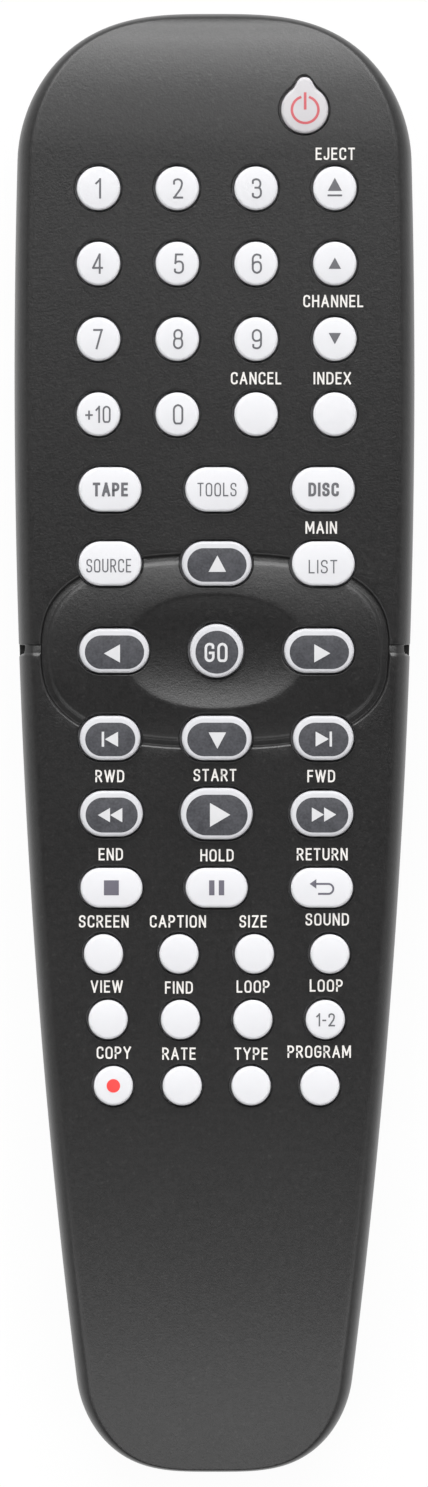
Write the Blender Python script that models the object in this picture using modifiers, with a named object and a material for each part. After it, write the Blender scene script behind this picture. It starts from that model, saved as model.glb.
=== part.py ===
"""Handheld remote control of a disc and tape player: casing, 47 keys, board, cells and battery door.

Metres, +Z out of the key face, +Y towards the nose that sends the infrared light.
The origin is on the surface that the belly rests on, under the middle of the part.
Run it with blender --background --python part.py, or from the text editor.
"""

import math

import bmesh
import bpy

MM = 0.001

# Casing, seen from above
BODY_LENGTH = 205.0 * MM
BODY_WIDTH = 56.2 * MM
NOSE_CORNER_LENGTH = 20.5 * MM
TAIL_CORNER_LENGTH = 13.0 * MM
WIDEST_PLACE_SHARE = 0.50  # of the half length, from the middle towards the nose
SIDE_TAPER_SHARE = 0.165  # of the half width, lost in one half length
NOSE_POWERS = (3.0, 1.9)  # across and along, of the superellipse that rounds the nose
TAIL_POWERS = (3.4, 2.0)
END_STEPS = 8
SIDE_STEPS = 12

# Casing, seen from the side
COVER_WALL = 2.0 * MM
PARTING_HEIGHT = 13.0 * MM
SHOULDER_WIDTH = 2.6 * MM
SHOULDER_HEIGHT = 5.0 * MM
NOSE_FALL = 5.0 * MM
NOSE_FALL_LENGTH = 19.5 * MM
INNER_NOSE_FALL_LENGTH = 5.5 * MM
TAIL_FALL = 6.0 * MM
TAIL_FALL_LENGTH = 54.4 * MM
BELLY_EDGE_WIDTH = 6.5 * MM
BELLY_RISE = 4.0 * MM
BELLY_RISE_LENGTH = 87.0 * MM
SKIRT_HEIGHT = 1.5 * MM  # of the upright wall below the parting line
SHOULDER_STEPS = 4
BELLY_STEPS = 4
FACE_RING_SHARES = (0.35, 0.70, 1.0)  # of the way from the shoulder to the middle line
SPINE_SHORTER_SHARE = 0.10

# Joint between the two covers
SEAM_GAP = 0.3 * MM
LIP_HEIGHT = 1.5 * MM
LIP_WALL = 0.8 * MM

# Room that touching pieces keep, and how far a cutter runs past what it cuts
FIT_GAP = 0.3 * MM
OVERRUN = 3.0 * MM
SEWING_DISTANCE = 0.01 * MM

SHARP_ANGLE = math.radians(30)  # of an edge that isn't shaded smooth

# Cells and their bay
CELL_DIAMETER = 14.5 * MM
CELL_LENGTH = 50.5 * MM
CELL_NUB_DIAMETER = 5.5 * MM
CELL_NUB_LENGTH = 1.2 * MM
CELL_EDGE = 0.6 * MM
CELL_SIDE_GAP = 0.6 * MM
CELL_STEPS = 20
BAY_WALL = 1.2 * MM
BAY_PLACE_SHARE = -0.41  # of the half length, from the middle towards the tail
BAY_FOOT_HEIGHT = 4.5 * MM
BAY_SHELF_THICKNESS = 1.5 * MM
SPRING_LENGTH = 4.5 * MM

# Battery contacts
CONTACT_THICKNESS = 0.5 * MM
CONTACT_WIDTH = 9.5 * MM
CONTACT_HEIGHT = 9.5 * MM
SPRING_WIRE = 0.7 * MM
SPRING_WIDE_DIAMETER = 8.0 * MM
SPRING_NARROW_DIAMETER = 4.5 * MM
SPRING_TURNS = 3
SPRING_TURN_STEPS = 10

# Battery door
DOOR_DOVETAIL = 1.2 * MM
DOOR_SIDE_MARGIN = 1.2 * MM  # of the door past the bay's inner side
DOOR_FRONT_MARGIN = 2.5 * MM
DOOR_END_HEIGHT = 8.0 * MM
DOOR_GRIP_COUNT = 4
DOOR_GRIP_PITCH = 2.2 * MM
DOOR_GRIP_WIDTH = 1.0 * MM
DOOR_GRIP_LENGTH = 18.0 * MM
DOOR_GRIP_DEPTH = 0.5 * MM
DOOR_GRIP_SETBACK = 7.0 * MM

# Board, mat and what the board carries
BOARD_THICKNESS = 1.2 * MM
BOARD_MARGIN = 1.0 * MM
BOARD_NOSE_SETBACK = 12.0 * MM  # from the inside of the nose
BOARD_TAIL_MARGIN = 5.0 * MM  # past the last row of keys
MAT_THICKNESS = 0.8 * MM
MAT_MARGIN = 0.6 * MM
POST_DIAMETER = 4.5 * MM
POST_PLACE_SHARES = ((0.62, 0.26), (0.52, 0.72))  # across the half width, along the half length
POST_STEPS = 10
CHIP_LENGTH = 18.0 * MM
CHIP_WIDTH = 7.6 * MM
CHIP_THICKNESS = 2.3 * MM
CHIP_PLACE_SHARE = 0.44
CHIP_LEG_COUNT = 7
CHIP_LEG_WIDTH = 1.0 * MM
CHIP_LEG_REACH = 1.3 * MM
CHIP_LEG_THICKNESS = 0.5 * MM
LED_DIAMETER = 5.0 * MM
LED_LENGTH = 7.0 * MM
LED_COLLAR = 0.5 * MM
LED_COLLAR_LENGTH = 1.0 * MM
LED_LEAD = 0.6 * MM
LED_LEAD_PITCH = 2.54 * MM
LED_STEPS = 12
WINDOW_WIDTH = 20.0 * MM
WINDOW_HEIGHT = 7.0 * MM
WINDOW_DEPTH = 2.5 * MM
WINDOW_RECESS = 0.3 * MM

# Keys: one pitch across for each kind of row, one place along for each row
KEY_TRAVEL = 1.0 * MM
KEY_PROUD = 1.2 * MM
KEY_EDGE = 0.45 * MM
KEY_FLANGE = 0.8 * MM
KEY_FLANGE_THICKNESS = 0.7 * MM
KEY_HOLE_GAP = 0.3 * MM
KEY_FIELD_OFFSET = 0.3 * MM  # of the middle of the rows, towards +X
ROUND_STEPS = 12
PILL_STEPS = 16
DIGIT_DIAMETER = 6.1 * MM
OPTION_DIAMETER = 5.5 * MM
CENTRE_DIAMETER = 7.5 * MM
POWER_DIAMETER = 6.6 * MM
POWER_NUB_DIAMETER = 3.0 * MM
POWER_NUB_REACH = 1.3 * MM
PILL_SIZE = (8.8 * MM, 6.2 * MM)
CURSOR_PILL_SIZE = (9.8 * MM, 6.2 * MM)
SKIP_PILL_SIZE = (8.5 * MM, 6.2 * MM)
WIND_PILL_SIZE = (8.8 * MM, 6.4 * MM)
PLAY_PILL_SIZE = (10.1 * MM, 7.2 * MM)
STOP_PILL_SIZE = (8.7 * MM, 5.55 * MM)
POWER_PLACE_SHARES = (0.45, 0.866)  # of the half width and of the half length

# Oval round the cursor keys
OVAL_HALF_WIDTH = 24.3 * MM
OVAL_HALF_LENGTH = 13.1 * MM
OVAL_POWER = 2.7
OVAL_STEPS = 40
GROOVE_WIDTH = 1.3 * MM
GROOVE_DEPTH = 0.6 * MM
SIDE_GROOVE_WIDTH = 1.3 * MM
SIDE_GROOVE_DEPTH = 0.5 * MM
DISH_HALF_WIDTH = 12.6 * MM
DISH_HALF_LENGTH = 8.1 * MM
DISH_DEPTH = 1.1 * MM
DISH_CUTTER_HEIGHT = 4.0 * MM
DISH_STEPS = 24

# Half sizes, and heights that the stack of pieces gives
HALF_LENGTH = BODY_LENGTH / 2
HALF_WIDTH = BODY_WIDTH / 2
CELL_AXIS_HEIGHT = COVER_WALL + FIT_GAP + CELL_DIAMETER / 2
BAY_ROOF_HEIGHT = CELL_AXIS_HEIGHT + CELL_DIAMETER / 2 + FIT_GAP
BOARD_HEIGHT = BAY_ROOF_HEIGHT + BAY_WALL + FIT_GAP
MAT_HEIGHT = BOARD_HEIGHT + BOARD_THICKNESS + FIT_GAP
FLANGE_HEIGHT = MAT_HEIGHT + MAT_THICKNESS + FIT_GAP + KEY_TRAVEL
CEILING_HEIGHT = FLANGE_HEIGHT + KEY_FLANGE_THICKNESS + FIT_GAP
FACE_HEIGHT = CEILING_HEIGHT + COVER_WALL

# Bay and door, from the cells
BAY_HALF_WIDTH = CELL_DIAMETER + CELL_SIDE_GAP
BAY_LENGTH = CELL_LENGTH + SPRING_LENGTH + 2 * (CONTACT_THICKNESS + FIT_GAP)
BAY_MIDDLE = BAY_PLACE_SHARE * HALF_LENGTH
BAY_NOSE_END = BAY_MIDDLE + BAY_LENGTH / 2
BAY_TAIL_END = BAY_MIDDLE - BAY_LENGTH / 2
DOOR_HALF_WIDTH = BAY_HALF_WIDTH + DOOR_SIDE_MARGIN
DOOR_FRONT = BAY_NOSE_END + BAY_WALL + DOOR_FRONT_MARGIN

# Rows of keys from the nose to the tail: names and sizes, then each row's shares in the same order
ROUND_DIGIT = (DIGIT_DIAMETER, DIGIT_DIAMETER)
ROUND_OPTION = (OPTION_DIAMETER, OPTION_DIAMETER)
ROUND_CENTRE = (CENTRE_DIAMETER, CENTRE_DIAMETER)
KEY_ROWS = (
    (("1", "2", "3", "eject"), (ROUND_DIGIT,) * 4),
    (("4", "5", "6", "channel_up"), (ROUND_DIGIT,) * 4),
    (("7", "8", "9", "channel_down"), (ROUND_DIGIT,) * 4),
    (("plus_10", "0", "cancel", "index"), (ROUND_DIGIT,) * 4),
    (("tape", "tools", "disc"), (PILL_SIZE,) * 3),
    (("source", "cursor_up", "list"), (PILL_SIZE, CURSOR_PILL_SIZE, PILL_SIZE)),
    (("cursor_left", "go", "cursor_right"), (CURSOR_PILL_SIZE, ROUND_CENTRE, CURSOR_PILL_SIZE)),
    (("previous", "cursor_down", "next"), (SKIP_PILL_SIZE, CURSOR_PILL_SIZE, SKIP_PILL_SIZE)),
    (("reverse", "start", "forward"), (WIND_PILL_SIZE, PLAY_PILL_SIZE, WIND_PILL_SIZE)),
    (("end", "hold", "return"), (STOP_PILL_SIZE,) * 3),
    (("screen", "caption", "size", "sound"), (ROUND_OPTION,) * 4),
    (("view", "find", "loop", "loop_part"), (ROUND_OPTION,) * 4),
    (("copy", "rate", "type", "program"), (ROUND_OPTION,) * 4),
)
# Of the half length
ROW_PLACE_SHARES = (
    0.7585, 0.6556, 0.5524, 0.4496, 0.3468, 0.2454, 0.1261,
    0.0068, -0.0966, -0.1980, -0.2885, -0.3783, -0.4688,
)
# Of the half width
ROW_PITCH_SHARES = (
    0.3930, 0.3930, 0.3930, 0.3930, 0.5320, 0.5320, 0.5110,
    0.5320, 0.5250, 0.5250, 0.3765, 0.3612, 0.3434,
)
CURSOR_ROW = 6
CURSOR_PLACE_SHARE = ROW_PLACE_SHARES[CURSOR_ROW]  # the middle of the oval and of the dish
LAST_ROW_SHARE = ROW_PLACE_SHARES[-1]
DARK_KEYS = {
    "cursor_up", "cursor_left", "go", "cursor_right", "cursor_down",
    "previous", "next", "reverse", "start", "forward",
}


def clear_scene():
    for obj in list(bpy.data.objects):
        bpy.data.objects.remove(obj, do_unlink=True)


def new_collection(name):
    made = bpy.data.collections.new(name)
    bpy.context.scene.collection.children.link(made)
    return made


def plastic(name, colour, roughness, metallic=0.0):
    """A plain Principled material."""
    made = bpy.data.materials.new(name)
    made.use_nodes = True
    shader = made.node_tree.nodes["Principled BSDF"]
    shader.inputs["Base Color"].default_value = (*colour, 1.0)
    shader.inputs["Roughness"].default_value = roughness
    shader.inputs["Metallic"].default_value = metallic
    return made


def object_from(name, bm, collection, material=None, location=(0, 0, 0)):
    """An object of the bmesh, its normals outside and its flat faces kept crisp."""
    bmesh.ops.recalc_face_normals(bm, faces=bm.faces)
    mesh = bpy.data.meshes.new(name)
    bm.to_mesh(mesh)
    bm.free()
    mesh.shade_smooth()
    mesh.set_sharp_from_angle(angle=SHARP_ANGLE)
    if material:
        mesh.materials.append(material)
    made = bpy.data.objects.new(name, mesh)
    made.location = location
    collection.objects.link(made)
    if collection == cutters:
        made.hide_render = True
        made.display_type = "WIRE"
    return made


def cut(body, tool, operation="DIFFERENCE"):
    """A live Boolean of the tool on the body."""
    step = body.modifiers.new(f"{operation.lower()}_{tool.name}", "BOOLEAN")
    step.operation = operation
    step.object = tool
    step.solver = "EXACT"


def add_box(bm, low, high):
    """An upright box between two corners."""
    made = bmesh.ops.create_cube(bm, size=1.0)["verts"]
    for vert in made:
        for axis in range(3):
            middle = (low[axis] + high[axis]) / 2
            vert.co[axis] = middle + vert.co[axis] * (high[axis] - low[axis])


def box(name, low, high, collection=None, material=None):
    bm = bmesh.new()
    add_box(bm, low, high)
    return object_from(name, bm, collection or cutters, material)


def add_rings(bm, rings, cap_first=True, cap_last=True):
    """Skin a stack of rings with as many points each, and close its two ends flat."""
    loops = [[bm.verts.new(point) for point in ring] for ring in rings]
    count = len(loops[0])
    for lower, upper in zip(loops, loops[1:]):
        for i in range(count):
            j = (i + 1) % count
            bm.faces.new((lower[i], lower[j], upper[j], upper[i]))
    if cap_first:
        bm.faces.new(reversed(loops[0]))
    if cap_last:
        bm.faces.new(loops[-1])


def side_half_width(y):
    """The half width of the casing beside a place along it, without the rounding of its ends."""
    away = y / HALF_LENGTH - WIDEST_PLACE_SHARE
    return HALF_WIDTH * (1 - SIDE_TAPER_SHARE * away * away)


def outline(inset):
    """The casing's outline, drawn in by the inset: superellipse ends on gently tapered sides."""
    nose_start = HALF_LENGTH - NOSE_CORNER_LENGTH
    tail_start = TAIL_CORNER_LENGTH - HALF_LENGTH
    half = []
    for step in range(END_STEPS):
        turn = math.pi / 2 * step / END_STEPS
        across = math.sin(turn) ** (2 / NOSE_POWERS[0])
        y = nose_start + (NOSE_CORNER_LENGTH - inset) * math.cos(turn) ** (2 / NOSE_POWERS[1])
        half.append(((side_half_width(y) - inset) * across, y))
    for step in range(SIDE_STEPS + 1):
        y = nose_start + (tail_start - nose_start) * step / SIDE_STEPS
        half.append((side_half_width(y) - inset, y))
    for step in range(1, END_STEPS + 1):
        turn = math.pi / 2 * (1 - step / END_STEPS)
        across = math.sin(turn) ** (2 / TAIL_POWERS[0])
        y = tail_start - (TAIL_CORNER_LENGTH - inset) * math.cos(turn) ** (2 / TAIL_POWERS[1])
        half.append(((side_half_width(y) - inset) * across, y))
    return half + [(-x, y) for x, y in reversed(half[1:-1])]


def quarter_fall(share):
    """How far a quarter circle of radius one has fallen at a share of its reach."""
    share = min(max(share, 0), 1)
    return 1 - math.sqrt(1 - share * share)


def tail_fall(y):
    away = max(0, TAIL_FALL_LENGTH - HALF_LENGTH - y) / TAIL_FALL_LENGTH
    return TAIL_FALL * away * away


def face_height(y):
    """Height of the key face along the casing: level, rounded down at the nose, sloped at the tail."""
    away = (y - HALF_LENGTH + NOSE_FALL_LENGTH) / NOSE_FALL_LENGTH
    return FACE_HEIGHT - NOSE_FALL * quarter_fall(away) - tail_fall(y)


def ceiling_height(y):
    """Height of the inside of the key face, level further towards the nose than the outside is."""
    away = (y - HALF_LENGTH + COVER_WALL + INNER_NOSE_FALL_LENGTH) / INNER_NOSE_FALL_LENGTH
    return CEILING_HEIGHT - NOSE_FALL * quarter_fall(away) - tail_fall(y)


def belly_height(y):
    """Height of the belly along the casing: level under the cells, rising towards the nose."""
    away = max(0, y - HALF_LENGTH + BELLY_RISE_LENGTH) / BELLY_RISE_LENGTH
    return BELLY_RISE * away * away


def floor_height(y):
    return belly_height(y) + COVER_WALL


def inside_belly_height(y):
    """A level inside the thickness of the belly, where a post's foot is rooted."""
    return belly_height(y) + COVER_WALL / 2


def face_rings(edge, height_at):
    """Rings from the inner edge of the casing's rounding to the line down its middle."""
    rings = []
    for share in FACE_RING_SHARES:
        ring = [(x * (1 - share), y * (1 - SPINE_SHORTER_SHARE * share)) for x, y in edge]
        rings.append([(x, y, height_at(y)) for x, y in ring])
    return rings


def upper_rings(inset, height_at):
    """Rings of the upper casing, over its rounded shoulder to the middle of the key face."""
    width = max(SHOULDER_WIDTH - inset / 2, SHOULDER_WIDTH / 2)
    height = SHOULDER_HEIGHT * width / SHOULDER_WIDTH
    rings = []
    for step in range(SHOULDER_STEPS + 1):
        turn = math.pi / 2 * step / SHOULDER_STEPS
        edge = outline(inset + width * (1 - math.cos(turn)))
        rings.append([(x, y, height_at(y) - height * (1 - math.sin(turn))) for x, y in edge])
    return rings + face_rings(edge, height_at)


def lower_rings(inset, height_at):
    """Rings of the lower casing, round its lower edge to the middle of the belly."""
    width = BELLY_EDGE_WIDTH - inset
    top = PARTING_HEIGHT - SKIRT_HEIGHT
    rings = []
    for step in range(BELLY_STEPS + 1):
        turn = math.pi / 2 * step / BELLY_STEPS
        edge = outline(inset + width * (1 - math.cos(turn)))
        rings.append([(x, y, top - (top - height_at(y)) * math.sin(turn)) for x, y in edge])
    return rings + face_rings(edge, height_at)


def slab(name, rings, collection, material=None, cap_first=True):
    """A closed body of casing rings: a ring folded onto the middle line is sewn up."""
    bm = bmesh.new()
    add_rings(bm, rings, cap_first, cap_last=False)
    bmesh.ops.remove_doubles(bm, verts=bm.verts, dist=SEWING_DISTANCE)
    return object_from(name, bm, collection, material)


def upper_slab(name, inset, base_height, height_at, collection, material=None):
    base = [(x, y, base_height) for x, y in outline(inset)]
    return slab(name, [base] + upper_rings(inset, height_at), collection, material)


def lower_slab(name, inset, base_height, height_at, collection, material=None):
    base = [(x, y, base_height) for x, y in outline(inset)]
    return slab(name, [base] + lower_rings(inset, height_at), collection, material)


def wall_ring(name, inset, low, high):
    """A plain upright prism of the casing's outline."""
    bm = bmesh.new()
    add_rings(bm, [[(x, y, z) for x, y in outline(inset)] for z in (low, high)])
    return object_from(name, bm, cutters)


def stadium(width, length, steps):
    """Points of a pill outline, round where the width is the length, counter-clockwise."""
    radius = length / 2
    reach = (width - length) / 2
    points = []
    for step in range(steps):
        turn = 2 * math.pi * (step + 0.5) / steps
        side = math.copysign(reach, math.cos(turn))
        points.append((side + radius * math.cos(turn), radius * math.sin(turn)))
    return points


def teardrop(diameter, steps):
    """Points of the power key's outline: a circle with a small round nub towards the nose."""
    points = []
    radius = diameter / 2
    nub = POWER_NUB_DIAMETER / 2
    nub_centre = radius + POWER_NUB_REACH - nub
    for step in range(steps):
        turn = 2 * math.pi * (step + 0.5) / steps
        x, y = radius * math.cos(turn), radius * math.sin(turn)
        if abs(x) < nub and y > 0:
            y = nub_centre + math.sqrt(nub * nub - x * x)
        points.append((x, y))
    return points


def key_outline(name, size, grown):
    """The outline of one key, grown all round by a length, or drawn in by a negative one."""
    width, length = size[0] + 2 * grown, size[1] + 2 * grown
    if name != "power":
        return stadium(width, length, ROUND_STEPS if size[0] == size[1] else PILL_STEPS)
    return [
        (x * (1 + 2 * grown / size[0]), y * (1 + 2 * grown / size[0]))
        for x, y in teardrop(size[0], PILL_STEPS)
    ]


def key_list():
    """(name, x, y, size) of each of the keys."""
    keys = [
        (
            "power",
            POWER_PLACE_SHARES[0] * HALF_WIDTH,
            POWER_PLACE_SHARES[1] * HALF_LENGTH,
            (POWER_DIAMETER, POWER_DIAMETER),
        )
    ]
    for (names, sizes), place_share, pitch_share in zip(KEY_ROWS, ROW_PLACE_SHARES, ROW_PITCH_SHARES):
        for column, (name, size) in enumerate(zip(names, sizes)):
            steps_out = column - (len(names) - 1) / 2
            x = KEY_FIELD_OFFSET + steps_out * pitch_share * HALF_WIDTH
            keys.append((name, x, place_share * HALF_LENGTH, size))
    return keys


def make_key(name, x, y, size, material):
    """A key: a wide flange under the cover, a column through it and a softly edged top."""
    flange_top = FLANGE_HEIGHT + KEY_FLANGE_THICKNESS
    top = face_height(y) + KEY_PROUD
    levels = (
        (KEY_FLANGE, FLANGE_HEIGHT),
        (KEY_FLANGE, flange_top),
        (0, flange_top),
        (0, top - KEY_EDGE),
        (-KEY_EDGE, top),
    )
    bm = bmesh.new()
    rings = [
        [(px, py, z - FLANGE_HEIGHT) for px, py in key_outline(name, size, grown)]
        for grown, z in levels
    ]
    add_rings(bm, rings)
    object_from(f"key_{name}", bm, parts, material, (x, y, FLANGE_HEIGHT))


def key_holes(keys):
    """One cutter with a shaft for each key, as wide as the key and its gap."""
    bm = bmesh.new()
    for name, x, y, size in keys:
        low = CEILING_HEIGHT - OVERRUN
        high = FACE_HEIGHT + OVERRUN
        shaft = key_outline(name, size, KEY_HOLE_GAP)
        add_rings(bm, [[(x + px, y + py, z) for px, py in shaft] for z in (low, high)])
    return object_from("key_holes", bm, cutters)


def oval_point(turn):
    """A point of the oval round the cursor keys, from its middle."""
    x = math.copysign(abs(math.cos(turn)) ** (2 / OVAL_POWER), math.cos(turn))
    y = math.copysign(abs(math.sin(turn)) ** (2 / OVAL_POWER), math.sin(turn))
    return OVAL_HALF_WIDTH * x, OVAL_HALF_LENGTH * y


def oval_groove():
    """A wedge section carried round the oval, and a bar from it out of each side of the casing."""
    middle_y = CURSOR_PLACE_SHARE * HALF_LENGTH
    top = FACE_HEIGHT + GROOVE_DEPTH
    floor = FACE_HEIGHT - GROOVE_DEPTH
    bm = bmesh.new()
    sections = []
    for step in range(OVAL_STEPS):
        x, y = oval_point(2 * math.pi * (step + 0.5) / OVAL_STEPS)
        out = math.hypot(x, y)
        section = []
        for across, z in ((-1, top), (-1 / 2, floor), (1 / 2, floor), (1, top)):
            grown = 1 + across * GROOVE_WIDTH / out
            section.append((KEY_FIELD_OFFSET + x * grown, middle_y + y * grown, z))
        sections.append([bm.verts.new(point) for point in section])
    for i, here in enumerate(sections):
        there = sections[(i + 1) % len(sections)]
        for a in range(len(here)):
            b = (a + 1) % len(here)
            bm.faces.new((here[a], here[b], there[b], there[a]))
    return object_from("oval_groove", bm, cutters)


def side_grooves():
    """A bar across each side of the face, from the oval out past the edge."""
    middle_y = CURSOR_PLACE_SHARE * HALF_LENGTH
    bm = bmesh.new()
    for side in (-1, 1):
        ends = (side * OVAL_HALF_WIDTH + KEY_FIELD_OFFSET, side * (HALF_WIDTH + OVERRUN))
        low = (min(ends), middle_y - SIDE_GROOVE_WIDTH / 2, FACE_HEIGHT - SIDE_GROOVE_DEPTH)
        high = (max(ends), middle_y + SIDE_GROOVE_WIDTH / 2, FACE_HEIGHT + OVERRUN)
        add_box(bm, low, high)
    return object_from("side_grooves", bm, cutters)


def dish():
    """A flattened ball whose cap hollows the face inside the oval."""
    up = (DISH_CUTTER_HEIGHT - DISH_DEPTH) / DISH_CUTTER_HEIGHT
    wider = 1 / math.sqrt(1 - up * up)
    bm = bmesh.new()
    bmesh.ops.create_uvsphere(bm, u_segments=DISH_STEPS, v_segments=DISH_STEPS // 2, radius=1.0)
    for vert in bm.verts:
        vert.co.x *= DISH_HALF_WIDTH * wider
        vert.co.y *= DISH_HALF_LENGTH * wider
        vert.co.z *= DISH_CUTTER_HEIGHT
    middle_y = CURSOR_PLACE_SHARE * HALF_LENGTH
    height = FACE_HEIGHT + DISH_CUTTER_HEIGHT - DISH_DEPTH
    return object_from("dish", bm, cutters, None, (KEY_FIELD_OFFSET, middle_y, height))


def window_box(grown):
    """Two corners of the infrared window's opening in the nose, grown by a gap all round."""
    half = WINDOW_WIDTH / 2 + grown
    middle = PARTING_HEIGHT - WINDOW_HEIGHT / 4
    low = (-half, HALF_LENGTH - NOSE_CORNER_LENGTH / 2, middle - WINDOW_HEIGHT / 2 - grown)
    high = (half, HALF_LENGTH + OVERRUN, middle + WINDOW_HEIGHT / 2 + grown)
    return low, high


def make_top_cover(keys):
    cover = upper_slab("top_cover", 0, PARTING_HEIGHT, face_height, parts, charcoal)
    below = PARTING_HEIGHT - OVERRUN
    cut(cover, upper_slab("upper_room", COVER_WALL, below, ceiling_height, cutters))
    rebate = COVER_WALL - LIP_WALL - FIT_GAP
    rebate_top = PARTING_HEIGHT + LIP_HEIGHT + FIT_GAP
    cut(cover, wall_ring("lip_rebate", rebate, below, rebate_top))
    cut(cover, box("upper_window_opening", *window_box(FIT_GAP)))
    cut(cover, oval_groove())
    cut(cover, side_grooves())
    cut(cover, dish())
    cut(cover, key_holes(keys))


def door_wedge(name, gap):
    """The dovetailed slice of the belly that the door is, drawn in by a gap, taller at the tail end."""
    near = DOOR_HALF_WIDTH - gap
    far = near + DOOR_DOVETAIL
    heights = (-OVERRUN, COVER_WALL, BAY_FOOT_HEIGHT - gap)
    section = [
        (-near, heights[0]), (near, heights[0]), (far, heights[1]),
        (far, heights[2]), (-far, heights[2]), (-far, heights[1]),
    ]
    ends = (-HALF_LENGTH - OVERRUN, DOOR_FRONT - gap)
    bm = bmesh.new()
    add_rings(bm, [[(x, y, z) for x, z in section] for y in ends])
    wedge = object_from(name, bm, cutters)
    low = (-far, ends[0], COVER_WALL)
    high = (far, BAY_TAIL_END - BAY_WALL - FIT_GAP - gap, DOOR_END_HEIGHT - gap)
    cut(wedge, box(f"{name}_tail", low, high), "UNION")
    return wedge


def post_places():
    for across, along in POST_PLACE_SHARES:
        for side in (-1, 1):
            yield side * across * HALF_WIDTH, along * HALF_LENGTH


def posts(name, low_at, high):
    """The four posts under the board, as one cutter."""
    bm = bmesh.new()
    for x, y in post_places():
        turns = [2 * math.pi * step / POST_STEPS for step in range(POST_STEPS)]
        ring = [(x + POST_DIAMETER / 2 * math.cos(t), y + POST_DIAMETER / 2 * math.sin(t)) for t in turns]
        add_rings(bm, [[(px, py, z) for px, py in ring] for z in (low_at(y), high)])
    return object_from(name, bm, cutters)


def bay_block(name, base):
    """The outside of the bay, from a level up to its roof."""
    outside = BAY_HALF_WIDTH + BAY_WALL
    ends = (BAY_TAIL_END - BAY_WALL, BAY_NOSE_END + BAY_WALL)
    bm = bmesh.new()
    add_box(bm, (-outside, ends[0], base), (outside, ends[1], BAY_ROOF_HEIGHT + BAY_WALL))
    return object_from(name, bm, cutters)


def make_bottom_cover():
    top = PARTING_HEIGHT - SEAM_GAP
    cover = lower_slab("bottom_cover", 0, top, belly_height, parts, charcoal)
    board_seat = BOARD_HEIGHT - FIT_GAP
    lip_top = PARTING_HEIGHT + LIP_HEIGHT
    cut(cover, wall_ring("lip_outside", COVER_WALL - LIP_WALL, top - LIP_HEIGHT, lip_top), "UNION")
    room = lower_slab("lower_room", COVER_WALL, lip_top + OVERRUN, floor_height, cutters)
    shelf_low = (-HALF_WIDTH, BAY_TAIL_END - BAY_WALL, BAY_FOOT_HEIGHT)
    shelf_high = (HALF_WIDTH, BAY_NOSE_END + BAY_WALL, BAY_FOOT_HEIGHT + BAY_SHELF_THICKNESS)
    shelf = box("bay_shelf", shelf_low, shelf_high)
    block = bay_block("bay_block", BAY_FOOT_HEIGHT)
    pins = posts("post_cutter", inside_belly_height, lip_top + OVERRUN + FIT_GAP)
    for kept in (shelf, block, pins):
        cut(room, kept)
    cut(cover, room)
    cut(cover, bay_block("bay_tower", PARTING_HEIGHT / 2), "UNION")
    cut(cover, posts("post_tops", inside_belly_height, board_seat), "UNION")
    bay_low = (-BAY_HALF_WIDTH, BAY_TAIL_END, -OVERRUN)
    bay_high = (BAY_HALF_WIDTH, BAY_NOSE_END, BAY_ROOF_HEIGHT)
    cut(cover, box("bay_room", bay_low, bay_high))
    cut(cover, door_wedge("door_opening", 0))
    cut(cover, box("lower_window_opening", *window_box(FIT_GAP)))


def make_battery_door():
    top = PARTING_HEIGHT - SEAM_GAP
    door = lower_slab("battery_door", 0, top, belly_height, parts, charcoal)
    cut(door, lower_slab("door_room", COVER_WALL, top + OVERRUN, floor_height, cutters))
    cut(door, door_wedge("door_slice", FIT_GAP), "INTERSECT")
    bm = bmesh.new()
    for line in range(DOOR_GRIP_COUNT):
        y = DOOR_FRONT - DOOR_GRIP_SETBACK - line * DOOR_GRIP_PITCH
        low = (-DOOR_GRIP_LENGTH / 2, y - DOOR_GRIP_WIDTH / 2, -OVERRUN)
        high = (DOOR_GRIP_LENGTH / 2, y + DOOR_GRIP_WIDTH / 2, DOOR_GRIP_DEPTH)
        add_box(bm, low, high)
    cut(door, object_from("door_grips", bm, cutters))


def board_outline(margin):
    """The casing's inside outline, drawn in by a margin and cut off square at both ends."""
    nose = HALF_LENGTH - COVER_WALL - BOARD_NOSE_SETBACK - margin
    tail = LAST_ROW_SHARE * HALF_LENGTH - BOARD_TAIL_MARGIN + margin
    half = []
    for step in range(SIDE_STEPS + 1):
        y = nose + (tail - nose) * step / SIDE_STEPS
        edge = [point for point in outline(COVER_WALL + BOARD_MARGIN + margin) if point[0] > 0]
        edge.sort(key=lambda point: point[1])
        for (x0, y0), (x1, y1) in zip(edge, edge[1:]):
            if y0 <= y <= y1:
                half.append((x0 + (x1 - x0) * (y - y0) / (y1 - y0), y))
                break
    return half + [(-x, y) for x, y in reversed(half)]


def make_sheet(name, margin, low, thickness, material):
    """A flat piece in the board's outline."""
    bm = bmesh.new()
    edge = board_outline(margin)
    add_rings(bm, [[(x, y, z) for x, y in edge] for z in (low, low + thickness)])
    object_from(name, bm, parts, material)


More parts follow.
